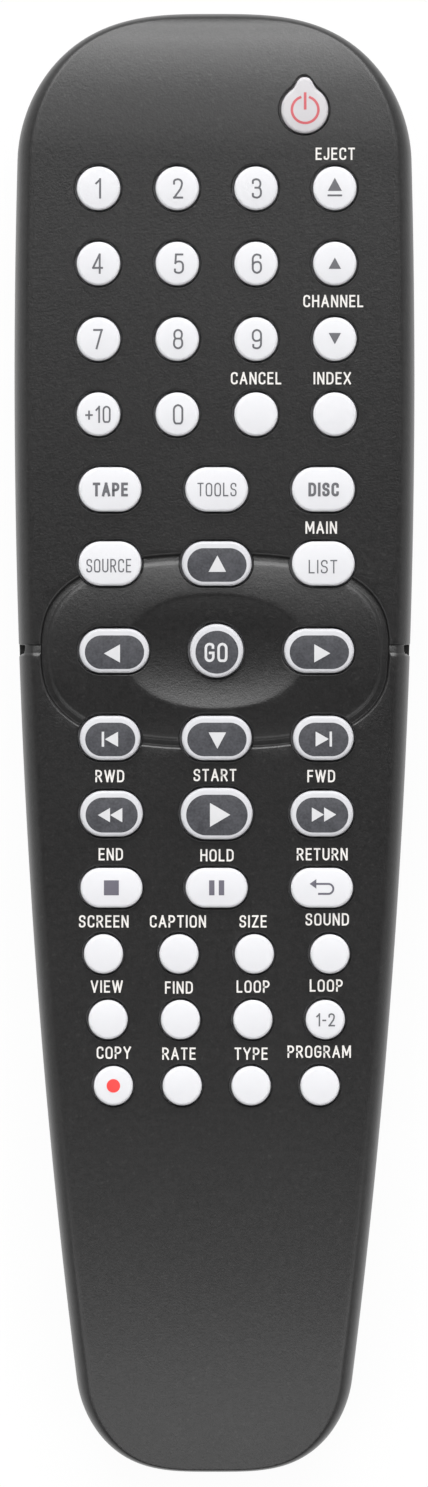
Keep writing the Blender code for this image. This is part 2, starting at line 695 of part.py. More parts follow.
def make_chip():
    top = BOARD_HEIGHT - FIT_GAP
    middle_y = CHIP_PLACE_SHARE * HALF_LENGTH
    low = (-CHIP_LENGTH / 2, middle_y - CHIP_WIDTH / 2, top - CHIP_THICKNESS)
    high = (CHIP_LENGTH / 2, middle_y + CHIP_WIDTH / 2, top)
    chip = box("controller_chip", low, high, parts, black)
    bm = bmesh.new()
    pitch = CHIP_LENGTH / CHIP_LEG_COUNT
    half = CHIP_WIDTH / 2 + CHIP_LEG_REACH
    for leg in range(CHIP_LEG_COUNT):
        x = (leg - (CHIP_LEG_COUNT - 1) / 2) * pitch
        leg_low = (x - CHIP_LEG_WIDTH / 2, middle_y - half, top - CHIP_LEG_THICKNESS)
        leg_high = (x + CHIP_LEG_WIDTH / 2, middle_y + half, top - CHIP_LEG_THICKNESS / 2)
        add_box(bm, leg_low, leg_high)
    cut(chip, object_from("chip_legs", bm, cutters), "UNION")


def lathe(name, profile, steps, collection, material=None):
    """A profile of (radius, height) pairs, from top to bottom, turned about the Z axis."""
    mesh = bpy.data.meshes.new(name)
    points = [(radius, 0, height) for radius, height in profile]
    mesh.from_pydata(points, [(i, i + 1) for i in range(len(points) - 1)], [])
    if material:
        mesh.materials.append(material)
    made = bpy.data.objects.new(name, mesh)
    collection.objects.link(made)
    turn = made.modifiers.new("turn", "SCREW")
    turn.steps = steps
    turn.render_steps = steps
    turn.use_merge_vertices = True
    turn.merge_threshold = SEWING_DISTANCE
    if collection == cutters:
        made.hide_render = True
        made.display_type = "WIRE"
    return made


def make_cells():
    """Two cells side by side, head to tail, each with its nub at a plain contact."""
    radius, nub = CELL_DIAMETER / 2, CELL_NUB_DIAMETER / 2
    body = CELL_LENGTH - CELL_NUB_LENGTH
    profile = [
        (0, CELL_LENGTH), (nub, CELL_LENGTH), (nub, body), (radius - CELL_EDGE, body),
        (radius, body - CELL_EDGE), (radius, CELL_EDGE), (radius - CELL_EDGE, 0), (0, 0),
    ]
    for name, side in (("battery_left", -1), ("battery_right", 1)):
        cell = lathe(name, profile, CELL_STEPS, parts, cell_blue)
        plain_end = SPRING_LENGTH + CONTACT_THICKNESS
        y = BAY_TAIL_END + plain_end if side < 0 else BAY_NOSE_END - plain_end
        cell.location = (side * (CELL_DIAMETER + CELL_SIDE_GAP) / 2, y, CELL_AXIS_HEIGHT)
        cell.rotation_euler = (side * math.pi / 2, 0, 0)


def spring_coil(name, x, wall_y, towards):
    """A cone of wire turns from a contact's plate towards a cell's plain end."""
    curve = bpy.data.curves.new(name, "CURVE")
    curve.dimensions = "3D"
    curve.bevel_depth = SPRING_WIRE / 2
    curve.bevel_resolution = 1
    curve.use_fill_caps = True
    line = curve.splines.new("POLY")
    count = SPRING_TURNS * SPRING_TURN_STEPS + 1
    line.points.add(count - 1)
    reach = SPRING_LENGTH - FIT_GAP - SPRING_WIRE
    for i in range(count):
        share = i / (count - 1)
        turn = 2 * math.pi * SPRING_TURNS * share
        width = SPRING_WIDE_DIAMETER + (SPRING_NARROW_DIAMETER - SPRING_WIDE_DIAMETER) * share
        radius = (width - SPRING_WIRE) / 2
        y = wall_y + towards * (SPRING_WIRE / 4 + reach * share)
        point = (x + radius * math.cos(turn), y, CELL_AXIS_HEIGHT + radius * math.sin(turn), 1)
        line.points[i].co = point
    made = bpy.data.objects.new(name, curve)
    cutters.objects.link(made)
    return meshed(made)


def meshed(curve_object):
    """The curve object as a closed mesh object of the same name, its caps sewn on."""
    graph = bpy.context.evaluated_depsgraph_get()
    mesh = bpy.data.meshes.new_from_object(curve_object.evaluated_get(graph))
    name = curve_object.name
    place = curve_object.matrix_world.copy()
    bpy.data.objects.remove(curve_object, do_unlink=True)
    bm = bmesh.new()
    bm.from_mesh(mesh)
    bmesh.ops.remove_doubles(bm, verts=bm.verts, dist=SEWING_DISTANCE)
    made = object_from(name, bm, cutters)
    made.matrix_world = place
    return made


def contact(name, x_low, x_high, wall_y, towards):
    """An upright metal plate against an end of the bay."""
    near = wall_y + towards * FIT_GAP
    far = near + towards * CONTACT_THICKNESS
    low = (x_low, min(near, far), CELL_AXIS_HEIGHT - CONTACT_HEIGHT / 2)
    high = (x_high, max(near, far), CELL_AXIS_HEIGHT + CONTACT_HEIGHT / 2)
    return box(name, low, high, parts, nickel), far


def make_contacts():
    side_x = (CELL_DIAMETER + CELL_SIDE_GAP) / 2
    half = CONTACT_WIDTH / 2
    bridge, face_y = contact("contact_bridge", -side_x - half, side_x + half, BAY_NOSE_END, -1)
    cut(bridge, spring_coil("bridge_coil", side_x, face_y, -1), "UNION")
    spring, face_y = contact("contact_spring", -side_x - half, -side_x + half, BAY_TAIL_END, 1)
    cut(spring, spring_coil("spring_coil", -side_x, face_y, 1), "UNION")
    contact("contact_plate", side_x - half, side_x + half, BAY_TAIL_END, 1)


def make_led():
    """An infrared diode facing the nose, hung from the board's front edge by its two leads."""
    radius = LED_DIAMETER / 2
    collar = radius + LED_COLLAR
    straight = LED_LENGTH - radius
    profile = [(0, LED_LENGTH)]
    for step in range(1, LED_STEPS // 4 + 1):
        turn = math.pi / 2 * step / (LED_STEPS // 4)
        profile.append((radius * math.sin(turn), straight + radius * math.cos(turn)))
    profile += [(radius, LED_COLLAR_LENGTH), (collar, LED_COLLAR_LENGTH), (collar, 0), (0, 0)]
    led = lathe("ir_led", profile, LED_STEPS, parts, smoke)
    tip = HALF_LENGTH - WINDOW_RECESS - WINDOW_DEPTH - FIT_GAP
    height = PARTING_HEIGHT - WINDOW_HEIGHT / 4
    led.location = (0, tip - LED_LENGTH, height)
    led.rotation_euler = (-math.pi / 2, 0, 0)
    board_front = HALF_LENGTH - COVER_WALL - BOARD_NOSE_SETBACK
    back = tip - LED_LENGTH + LED_COLLAR_LENGTH / 2
    bm = bmesh.new()
    for side in (-1, 1):
        x = side * LED_LEAD_PITCH / 2
        run_low = (x - LED_LEAD / 2, board_front - LED_LEAD * 3, height - LED_LEAD / 2)
        run_high = (x + LED_LEAD / 2, back, height + LED_LEAD / 2)
        add_box(bm, run_low, run_high)
    leads = object_from("led_leads", bm, cutters)
    risers = bmesh.new()
    for side in (-1, 1):
        x = side * LED_LEAD_PITCH / 2
        rise_low = (x - LED_LEAD / 2, board_front - LED_LEAD * 3, height - LED_LEAD / 4)
        rise_high = (x + LED_LEAD / 2, board_front - LED_LEAD * 2, BOARD_HEIGHT - FIT_GAP)
        add_box(risers, rise_low, rise_high)
    cut(led, leads, "UNION")
    cut(led, object_from("led_risers", risers, cutters), "UNION")


def make_window():
    """The dark lens in the nose: the whole casing's form, drawn in a little, cut to the opening."""
    rings = lower_rings(WINDOW_RECESS, belly_height)[::-1] + upper_rings(WINDOW_RECESS, face_height)
    lens = slab("ir_window", rings, parts, smoke, cap_first=False)
    low, high = window_box(0)
    back = HALF_LENGTH - WINDOW_RECESS - WINDOW_DEPTH
    cut(lens, box("window_slice", (low[0], back, low[2]), high), "INTERSECT")


clear_scene()
parts = new_collection("remote_control")
cutters = new_collection("cutters")
charcoal = plastic("charcoal_plastic", (0.042, 0.040, 0.041), 0.55)
white = plastic("white_silicone", (0.82, 0.82, 0.84), 0.50)
slate = plastic("slate_silicone", (0.095, 0.098, 0.115), 0.50)
grey = plastic("grey_silicone", (0.25, 0.25, 0.26), 0.60)
green = plastic("board_laminate", (0.10, 0.16, 0.06), 0.45)
black = plastic("black_epoxy", (0.02, 0.02, 0.02), 0.50)
smoke = plastic("smoked_lens", (0.03, 0.015, 0.02), 0.15)
nickel = plastic("nickel_plate", (0.70, 0.68, 0.64), 0.30, 1.0)
cell_blue = plastic("cell_jacket", (0.05, 0.09, 0.20), 0.35)

all_keys = key_list()
make_top_cover(all_keys)
make_bottom_cover()
make_battery_door()
for key_name, key_x, key_y, key_size in all_keys:
    make_key(key_name, key_x, key_y, key_size, slate if key_name in DARK_KEYS else white)
make_sheet("circuit_board", 0, BOARD_HEIGHT, BOARD_THICKNESS, green)
make_sheet("keypad_mat", MAT_MARGIN, MAT_HEIGHT, MAT_THICKNESS, grey)
make_chip()
make_cells()
make_contacts()
make_led()
make_window()
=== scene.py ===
import math

import bpy
import numpy as np
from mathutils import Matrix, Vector, geometry


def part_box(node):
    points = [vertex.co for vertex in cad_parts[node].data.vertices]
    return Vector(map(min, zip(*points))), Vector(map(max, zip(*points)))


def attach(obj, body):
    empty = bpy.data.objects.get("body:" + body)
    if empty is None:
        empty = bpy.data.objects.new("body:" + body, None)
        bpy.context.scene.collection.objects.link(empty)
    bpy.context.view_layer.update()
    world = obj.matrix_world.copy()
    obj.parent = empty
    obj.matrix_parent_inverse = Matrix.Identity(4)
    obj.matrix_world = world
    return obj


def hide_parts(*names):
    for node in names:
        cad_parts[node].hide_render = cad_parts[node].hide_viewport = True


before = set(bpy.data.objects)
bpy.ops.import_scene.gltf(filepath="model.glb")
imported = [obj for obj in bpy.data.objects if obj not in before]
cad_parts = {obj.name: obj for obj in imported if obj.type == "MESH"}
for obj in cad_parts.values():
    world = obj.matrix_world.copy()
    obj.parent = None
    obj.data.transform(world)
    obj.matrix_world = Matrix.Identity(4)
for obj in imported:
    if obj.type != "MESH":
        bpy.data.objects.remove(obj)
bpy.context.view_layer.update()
print("frame loaded:", len(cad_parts), "nodes")

mm = 0.001

# The casing's sizes in millimetres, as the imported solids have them
casing = {
    "halfLength": 102.5,
    "halfWidth": 28.097,
    "noseCorner": 20.5,
    "tailCorner": 13.0,
    "widestShare": 0.50,
    "taperShare": 0.165,
    "nosePowers": (3.0, 1.9),
    "tailPowers": (3.4, 2.0),
    "wall": 2.0,
    "leastThickness": 0.4,
    "parting": 13.0,
    "seamGap": 0.3,
    "seamRound": 0.2,
    "seamCorner": 0.06,
    "lipHeight": 1.5,
    "lipInset": 1.2,
    "rebateInset": 0.9,
    "ceiling": 23.2,
    "ceilingCorner": 0.8,
    "face": 25.2,
    "shoulderWidth": 2.6,
    "shoulderHeight": 5.0,
    "shoulderPower": 2.3,
    "shoulderFade": 1.2,
    "noseShoulder": (0.72, 2.6),
    "tailShoulder": (0.40, 2.6),
    "noseFall": 5.0,
    "noseFallLength": 19.5,
    "innerNoseFallLength": 5.5,
    "tailFall": 6.0,
    "tailFallLength": 54.4,
    "bellyEdge": 6.5,
    "bellyRise": 4.0,
    "bellyRiseLength": 87.0,
    "skirtTop": 11.5,
    "endPoints": 44,
    "endSamples": 4000,
    "sidePoints": 90,
    "sideLineGap": 0.35,
    "shoulderRows": 16,
    "bellyRows": 14,
    "innerBellyRows": 8,
    "floorShares": (0.15, 0.3, 0.45, 0.6, 0.75, 0.9, 1.0),
    "floorDraw": 0.1,
}

# The oval round the cursor keys, its bulge and dish, and the groove to each side
oval = {
    "centre": (0.09, 12.925),
    "half": (23.97, 13.1),
    "power": 2.7,
    "points": 260,
    "samples": 2400,
    "offsets": (
        -1.00, -0.92, -0.84, -0.76, -0.68, -0.60, -0.52, -0.46, -0.40, -0.30, 0.0,
        0.27, 0.31, 0.48, 0.53, 0.58, 0.63, 0.68, 0.73, 0.765, 0.80,
    ),
    "depths": (
        0.30, 0.322, 0.350, 0.383, 0.421, 0.464, 0.513, 0.552, 0.572, 0.590, 0.625,
        0.66, 0.65, 0.205, 0.145, 0.100, 0.065, 0.035, 0.014, 0.005, 0.0,
    ),
    "bulge": 0.70,
    "bulgePower": 3.2,
    "dishHalf": (12.6, 7.98),
    "dishShift": -0.12,
    "dishPower": 2.2,
    "dishDepth": 1.05,
    "dishCurve": 2.5,
    "dishSoftness": 0.07,
    "dishRings": (0.90, 0.935, 0.965, 0.985, 1.0, 1.02, 1.045, 1.08, 1.12),
    "dishPoints": 160,
    "sideStart": 0.1,
    "sideLineStart": 0.3,
    "sideOffsets": (
        -0.84, -0.75, -0.66, -0.57, -0.48, -0.40, -0.34, -0.26, -0.12, 0.20, 0.72, 0.79, 0.86, 0.92, 1.00,
    ),
    "sideDepths": (
        0.0, 0.008, 0.028, 0.060, 0.102, 0.155, 0.205, 0.220, 0.225, 0.26, 0.335, 0.29, 0.13, 0.02, 0.0,
    ),
    "notchShare": 3.4,
}

# Keys: the sizes across and along in millimetres
keys = {
    "fieldOffset": 0.3,
    "proud": 1.167,
    "edge": 0.42,
    "edgeSteps": 6,
    "crown": 0.14,
    "crownShares": (0.985, 0.90, 0.80, 0.65, 0.5, 0.35, 0.2, 0.08),
    "crownReach": 1.2,
    "flange": 0.8,
    "flangeLow": 22.2,
    "flangeTop": 22.9,
    "flangeRound": 0.1,
    "columnRound": 0.06,
    "roundPoints": 64,
    "longPoints": 80,
    "holeGap": 0.27,
    "holeRound": 0.17,
    "holeRoundEnd": 0.999,
    "holeShift": (-0.06, 0.06),
    "holeRings": (0, 0.06, 0.20, 0.5, 1.0, 1.5),
    "roundHolePoints": 44,
    "longHolePoints": 56,
    "holeMargin": 0.004,
    "nearby": 2,
    "digit": (6.1, 6.1),
    "option": (5.5, 5.5),
    "centre": (7.5, 7.5),
    "power": (6.6, 6.6),
    "pill": (8.8, 6.2),
    "cursor": (9.8, 6.2),
    "skip": (8.5, 6.2),
    "wind": (8.8, 6.4),
    "play": (10.1, 7.2),
    "stop": (8.7, 5.55),
    "powerPlaceShares": (0.45, 0.866),
    "powerNub": 1.28,
    "powerNubSpread": 0.335,
    "powerNubPower": 2.8,
    "faceInset": 0.74,
    "faceRings": (0, 0.12, 0.45),
    "faceShift": (0.04, -0.20),
    "wholeShiftRings": 2,
    "shiftRings": 5,
}

# Names, sizes, place along the half length, and pitch across the half width, of each row
keyRows = (
    (("1", "2", "3", "eject"), ("digit",) * 4, 0.7585, 0.3930),
    (("4", "5", "6", "channel_up"), ("digit",) * 4, 0.6556, 0.3930),
    (("7", "8", "9", "channel_down"), ("digit",) * 4, 0.5524, 0.3930),
    (("plus_10", "0", "cancel", "index"), ("digit",) * 4, 0.4496, 0.3930),
    (("tape", "tools", "disc"), ("pill",) * 3, 0.3468, 0.5320),
    (("source", "cursor_up", "list"), ("pill", "cursor", "pill"), 0.2454, 0.5320),
    (("cursor_left", "go", "cursor_right"), ("cursor", "centre", "cursor"), 0.1261, 0.5110),
    (("previous", "cursor_down", "next"), ("skip", "cursor", "skip"), 0.0068, 0.5320),
    (("reverse", "start", "forward"), ("wind", "play", "wind"), -0.0966, 0.5250),
    (("end", "hold", "return"), ("stop",) * 3, -0.1980, 0.5250),
    (("screen", "caption", "size", "sound"), ("option",) * 4, -0.2885, 0.3765),
    (("view", "find", "loop", "loop_part"), ("option",) * 4, -0.3783, 0.3612),
    (("copy", "rate", "type", "program"), ("option",) * 4, -0.4688, 0.3434),
)
darkKeys = {
    "cursor_up", "cursor_left", "go", "cursor_right", "cursor_down",
    "previous", "next", "reverse", "start", "forward",
}

print("materials")


def newGroup(name, inputs, outputs):
    # an empty shader node group with its sockets: each is (name, kind, default)
    tree = bpy.data.node_groups.new(name, "ShaderNodeTree")
    for direction, sockets in (("INPUT", inputs), ("OUTPUT", outputs)):
        for socketName, kind, default in sockets:
            socket = tree.interface.new_socket(socketName, in_out=direction, socket_type=kind)
            if default is not None:
                socket.default_value = default
    return tree, tree.nodes.new("NodeGroupInput"), tree.nodes.new("NodeGroupOutput")


def node(tree, kind, settings=None, **inputs):
    # a node with its settings and its inputs' values or links; i0, i1 and so on name a socket by its number
    made = tree.nodes.new(kind)
    for key, value in (settings or {}).items():
        setattr(made, key, value)
    for key, value in inputs.items():
        byNumber = key[0] == "i" and key[1:].isdigit()
        socket = made.inputs[int(key[1:]) if byNumber else key.replace("_", " ")]
        if isinstance(value, bpy.types.NodeSocket):
            tree.links.new(value, socket)
        else:
            socket.default_value = value
    return made


def mathNode(tree, operation, first, second=0.5, third=0.0, clamp=False):
    # one sum of two or three values or links
    made = node(tree, "ShaderNodeMath", {"operation": operation, "use_clamp": clamp}, i0=first, i1=second)
    if operation == "MULTIPLY_ADD":
        made.inputs[2].default_value = third
    return made.outputs[0]


def mixColours(tree, share, first, second):
    # the first colour where the share is 0, the second where it is 1; each a link or three numbers
    made = tree.nodes.new("ShaderNodeMix")
    made.data_type = "RGBA"
    for index, value in ((0, share), (6, first), (7, second)):
        if isinstance(value, bpy.types.NodeSocket):
            tree.links.new(value, made.inputs[index])
        else:
            made.inputs[index].default_value = (*value, 1.0)
    return made.outputs[2]


# The shared textures: the coarse noise's share of the fine one's scale, then contrasts and thresholds
textures = {
    "coarseShare": 0.31,
    "maskContrast": 3.4,
    "maskOffset": -1.2,
    "specksAbove": 0.66,
    "specksContrast": 9.0,
}


def buildGrain():
    # moulded texture: two noises of different size, mixed; the mask is the mix with its contrast raised
    tree, start, end = newGroup(
        "mouldedGrain",
        [("Scale", "NodeSocketFloat", 1000.0), ("Share", "NodeSocketFloat", 0.5)],
        [("Height", "NodeSocketFloat", None), ("Mask", "NodeSocketFloat", None)],
    )
    place = node(tree, "ShaderNodeTexCoord").outputs["Object"]
    fine = node(tree, "ShaderNodeTexNoise", None, Vector=place, Scale=start.outputs["Scale"], Detail=2.0)
    wide = mathNode(tree, "MULTIPLY", start.outputs["Scale"], textures["coarseShare"])
    coarse = node(tree, "ShaderNodeTexNoise", None, Vector=place, Scale=wide, Detail=1.0)
    share = start.outputs["Share"]
    both = node(tree, "ShaderNodeMix", None, i0=share, i2=fine.outputs[0], i3=coarse.outputs[0]).outputs[0]
    tree.links.new(both, end.inputs["Height"])
    contrast, offset = textures["maskContrast"], textures["maskOffset"]
    sharper = mathNode(tree, "MULTIPLY_ADD", both, contrast, offset, clamp=True)
    tree.links.new(sharper, end.inputs["Mask"])
    return tree


def buildMottle():
    # soft blotches of colour and gloss, such as handling leaves on plastic
    tree, start, end = newGroup(
        "softMottle",
        [("Scale", "NodeSocketFloat", 60.0), ("Contrast", "NodeSocketFloat", 1.0)],
        [("Mask", "NodeSocketFloat", None)],
    )
    place = node(tree, "ShaderNodeTexCoord").outputs["Object"]
    scale = start.outputs["Scale"]
    cloud = node(tree, "ShaderNodeTexNoise", None, Vector=place, Scale=scale, Detail=4.0, Roughness=0.6)
    centred = mathNode(tree, "SUBTRACT", cloud.outputs[0], 0.5)
    scaled = mathNode(tree, "MULTIPLY", centred, start.outputs["Contrast"])
    tree.links.new(mathNode(tree, "ADD", scaled, 0.5, clamp=True), end.inputs["Mask"])
    return tree


def buildEdgeWear():
    # rubbed edges: where the surface is sharply convex, broken up by a noise
    kind = "NodeSocketFloat"
    tree, start, end = newGroup(
        "edgeWear",
        [("Start", kind, 0.52), ("Spread", kind, 0.06), ("Scale", kind, 300.0)],
        [("Mask", kind, None)],
    )
    edge = node(tree, "ShaderNodeNewGeometry").outputs["Pointiness"]
    risen = mathNode(tree, "SUBTRACT", edge, start.outputs["Start"])
    ramp = mathNode(tree, "DIVIDE", risen, start.outputs["Spread"], clamp=True)
    place = node(tree, "ShaderNodeTexCoord").outputs["Object"]
    broken = node(tree, "ShaderNodeTexNoise", None, Vector=place, Scale=start.outputs["Scale"], Detail=3.0)
    tree.links.new(mathNode(tree, "MULTIPLY", ramp, broken.outputs[0], clamp=True), end.inputs["Mask"])
    return tree


def buildDust():
    # fine specks that lie on what faces up: a thresholded noise times the upward share of the normal
    tree, start, end = newGroup(
        "settledDust",
        [("Scale", "NodeSocketFloat", 900.0), ("Cover", "NodeSocketFloat", 0.3)],
        [("Mask", "NodeSocketFloat", None)],
    )
    place = node(tree, "ShaderNodeTexCoord").outputs["Object"]
    speck = node(tree, "ShaderNodeTexNoise", None, Vector=place, Scale=start.outputs["Scale"], Detail=1.0)
    sharp = mathNode(tree, "SUBTRACT", speck.outputs[0], textures["specksAbove"])
    sharp = mathNode(tree, "MULTIPLY", sharp, textures["specksContrast"], clamp=True)
    normal = node(tree, "ShaderNodeNewGeometry").outputs["Normal"]
    upward = node(tree, "ShaderNodeSeparateXYZ", None, Vector=normal).outputs["Z"]
    lying = mathNode(tree, "MULTIPLY", sharp, mathNode(tree, "MAXIMUM", upward, 0.0))
    tree.links.new(mathNode(tree, "MULTIPLY", lying, start.outputs["Cover"], clamp=True), end.inputs["Mask"])
    return tree


groups = {
    "grain": buildGrain(),
    "mottle": buildMottle(),
    "wear": buildEdgeWear(),
    "dust": buildDust(),
}


def use(tree, group, **inputs):
    # a shared texture placed in a material, with the material's own values
    made = tree.nodes.new("ShaderNodeGroup")
    made.node_tree = groups[group]
    for key, value in inputs.items():
        made.inputs[key].default_value = value
    return made


# What a finish has where it says nothing of its own
plainFinish = {
    "mottleScale": 55.0, "mottleContrast": 1.0, "grainScale": 3200.0, "grainShare": 0.45, "wearStart": 0.53,
    "wearSpread": 0.08, "wearScale": 350.0, "dustScale": 1500.0, "dustColour": (0.45, 0.44, 0.42), "ior": 1.46,
    "specular": 0.5, "metallic": 0.0, "bumpStrength": 0.35, "bumpDistance": 0.00002,
}


def mouldedMaterial(name, ownFinish):
    # a moulded or printed surface: mottled colour, worn edges, dust and a fine bump on one Principled shader
    finish = {**plainFinish, **ownFinish}
    made = bpy.data.materials.new(name)
    made.use_nodes = True
    tree = made.node_tree
    shader = tree.nodes["Principled BSDF"]
    mottle = use(tree, "mottle", Scale=finish["mottleScale"], Contrast=finish["mottleContrast"])
    colour = mixColours(tree, mottle.outputs["Mask"], finish["dark"], finish["light"])
    grain = use(tree, "grain", Scale=finish["grainScale"], Share=finish["grainShare"])
    if "speckle" in finish:
        share = mathNode(tree, "MULTIPLY", grain.outputs["Mask"], finish["speckleShare"])
        colour = mixColours(tree, share, colour, finish["speckle"])
    if "worn" in finish:
        start, spread = finish["wearStart"], finish["wearSpread"]
        wear = use(tree, "wear", Start=start, Spread=spread, Scale=finish["wearScale"])
        share = mathNode(tree, "MULTIPLY", wear.outputs["Mask"], finish["wornShare"])
        colour = mixColours(tree, share, colour, finish["worn"])
    if "dustCover" in finish:
        dust = use(tree, "dust", Scale=finish["dustScale"], Cover=finish["dustCover"])
        colour = mixColours(tree, dust.outputs["Mask"], colour, finish["dustColour"])
    tree.links.new(colour, shader.inputs["Base Color"])
    low, high = finish["roughness"]
    rough = mathNode(tree, "MULTIPLY_ADD", mottle.outputs["Mask"], high - low, low)
    tree.links.new(rough, shader.inputs["Roughness"])
    shader.inputs["IOR"].default_value = finish["ior"]
    shader.inputs["Specular IOR Level"].default_value = finish["specular"]
    shader.inputs["Metallic"].default_value = finish["metallic"]
    strength, distance = finish["bumpStrength"], finish["bumpDistance"]
    height = grain.outputs["Height"]
    bump = node(tree, "ShaderNodeBump", None, Strength=strength, Distance=distance, Height=height)
    tree.links.new(bump.outputs["Normal"], shader.inputs["Normal"])
    return made


finishes = {
    "casing": {
        "dark": (0.0018, 0.0017, 0.0017), "light": (0.0032, 0.0030, 0.0030), "roughness": (0.31, 0.37),
        "ior": 1.55, "bumpStrength": 0.90, "bumpDistance": 0.000036, "grainScale": 3600.0, "grainShare": 0.35,
        "speckle": (0.030, 0.0285, 0.029), "speckleShare": 0.30, "worn": (0.045, 0.045, 0.045),
        "wornShare": 0.25, "wearStart": 0.56, "dustCover": 0.02,
    },
    "keyWhite": {
        "dark": (0.575, 0.575, 0.595), "light": (0.62, 0.62, 0.637), "roughness": (0.40, 0.50),
        "bumpStrength": 0.20, "bumpDistance": 0.000012, "grainScale": 2600.0, "specular": 0.4,
        "mottleScale": 90.0,
    },
    # the white keys' finish made darker: painted shade for the dimmer light on the power key near the nose
    "keyWhitePaintedShade": {
        "dark": (0.455, 0.443, 0.458), "light": (0.505, 0.492, 0.508), "roughness": (0.36, 0.46),
        "bumpStrength": 0.20, "bumpDistance": 0.000012, "grainScale": 2600.0, "specular": 0.4,
        "mottleScale": 300.0,
    },
    "keyRim": {
        "dark": (0.475, 0.475, 0.495), "light": (0.54, 0.54, 0.56), "roughness": (0.38, 0.48),
        "bumpStrength": 0.15, "bumpDistance": 0.000010, "grainScale": 2600.0, "specular": 0.4,
        "mottleScale": 90.0,
    },
    "keySlate": {
        "dark": (0.026, 0.027, 0.032), "light": (0.036, 0.037, 0.043), "roughness": (0.42, 0.52),
        "bumpStrength": 0.25, "bumpDistance": 0.000014, "grainScale": 3000.0, "mottleScale": 200.0,
        "mottleContrast": 1.4, "speckle": (0.13, 0.13, 0.145), "speckleShare": 0.30,
    },
    "captionInk": {
        "dark": (0.60, 0.58, 0.56), "light": (0.70, 0.68, 0.655), "roughness": (0.45, 0.55),
        "bumpStrength": 0.10, "grainScale": 3600.0,
    },
    "legendInk": {
        "dark": (0.085, 0.085, 0.095), "light": (0.125, 0.125, 0.135), "roughness": (0.45, 0.55),
        "bumpStrength": 0.10, "mottleScale": 600.0,
    },
    "paleInk": {
        "dark": (0.50, 0.50, 0.51), "light": (0.59, 0.59, 0.60), "roughness": (0.45, 0.55),
        "bumpStrength": 0.10, "mottleScale": 500.0,
    },
    "redInk": {
        "dark": (0.44, 0.085, 0.10), "light": (0.54, 0.115, 0.13), "roughness": (0.40, 0.50),
        "bumpStrength": 0.10, "mottleScale": 500.0,
    },
    "dotInk": {
        "dark": (0.72, 0.040, 0.038), "light": (0.84, 0.060, 0.055), "roughness": (0.40, 0.50),
        "bumpStrength": 0.10, "mottleScale": 500.0,
    },
    "signInk": {
        "dark": (0.095, 0.090, 0.115), "light": (0.125, 0.118, 0.145), "roughness": (0.45, 0.55),
        "bumpStrength": 0.10, "mottleScale": 500.0,
    },
    "matRubber": {
        "dark": (0.20, 0.20, 0.21), "light": (0.28, 0.28, 0.29), "roughness": (0.55, 0.68),
        "grainScale": 2000.0, "bumpStrength": 0.4,
    },
    "boardLaminate": {
        "dark": (0.030, 0.085, 0.030), "light": (0.060, 0.130, 0.050), "roughness": (0.30, 0.45),
        "mottleScale": 220.0, "mottleContrast": 2.2, "grainScale": 1400.0, "speckle": (0.16, 0.20, 0.09),
        "speckleShare": 0.5,
    },
    "chipEpoxy": {
        "dark": (0.010, 0.010, 0.010), "light": (0.022, 0.022, 0.022), "roughness": (0.45, 0.60),
        "grainScale": 2600.0, "bumpStrength": 0.5,
    },
    "smokedLens": {
        "dark": (0.010, 0.0035, 0.005), "light": (0.020, 0.006, 0.009), "roughness": (0.08, 0.14),
        "bumpStrength": 0.05, "specular": 0.6, "mottleScale": 40.0,
    },
    "nickel": {
        "dark": (0.58, 0.56, 0.52), "light": (0.74, 0.72, 0.68), "roughness": (0.22, 0.36), "metallic": 1.0,
        "mottleScale": 300.0, "grainScale": 1800.0, "bumpStrength": 0.15,
    },
    "cellJacket": {
        "dark": (0.045, 0.085, 0.16), "light": (0.065, 0.115, 0.21), "roughness": (0.20, 0.30),
        "metallic": 0.6, "mottleScale": 120.0, "grainScale": 1500.0, "bumpStrength": 0.06,
        "worn": (0.35, 0.37, 0.40), "wornShare": 0.5,
    },
}
materials = {name: mouldedMaterial(name, finish) for name, finish in finishes.items()}

smoothAngle = math.radians(34)
sewDistance = 0.000002  # in metres: points closer than this become one


def makeObject(name, points, faces, materialNames, marks=None):
    # points in millimetres, faces counter-clockwise from outside, marks the material of each face
    mesh = bpy.data.meshes.new(name)
    mesh.from_pydata(np.asarray(points, float) * mm, [], [tuple(int(i) for i in face) for face in faces])
    for materialName in materialNames:
        mesh.materials.append(materials[materialName])
    if marks is not None:
        mesh.polygons.foreach_set("material_index", np.asarray(marks, np.int32))
    mesh.update()
    mesh.shade_smooth()
    mesh.set_sharp_from_angle(angle=smoothAngle)
    made = bpy.data.objects.new(name, mesh)
    bpy.context.scene.collection.objects.link(made)
    return made


def gridFaces(rows, columns, closed=True):
    # quads between neighbouring rows; the last column meets the first when closed
    i, j = np.meshgrid(np.arange(rows - 1), np.arange(columns if closed else columns - 1), indexing="ij")
    k = (j + 1) % columns
    quads = (i * columns + j, i * columns + k, (i + 1) * columns + k, (i + 1) * columns + j)
    return np.stack(quads, -1).reshape(-1, 4)


def finishWith(obj, kind, **settings):
    # one modifier, applied: the object's mesh becomes what it makes
    step = obj.modifiers.new(kind.lower(), kind)
    for key, value in settings.items():
        setattr(step, key, value)
    graph = bpy.context.evaluated_depsgraph_get()
    mesh = bpy.data.meshes.new_from_object(obj.evaluated_get(graph))
    obj.modifiers.clear()
    old = obj.data
    obj.data = mesh
    bpy.data.meshes.remove(old)
    mesh.shade_smooth()
    mesh.set_sharp_from_angle(angle=smoothAngle)


def sewn(obj):
    # points that lie on one another become one, and faces that vanish go
    finishWith(obj, "WELD", merge_threshold=sewDistance)
    return obj


def cutWith(obj, tool, operation="DIFFERENCE"):
    # the object less the tool, or joined with it or kept inside it; the tool is used up
    finishWith(obj, "BOOLEAN", operation=operation, object=tool, solver="EXACT")
    bpy.data.objects.remove(tool, do_unlink=True)


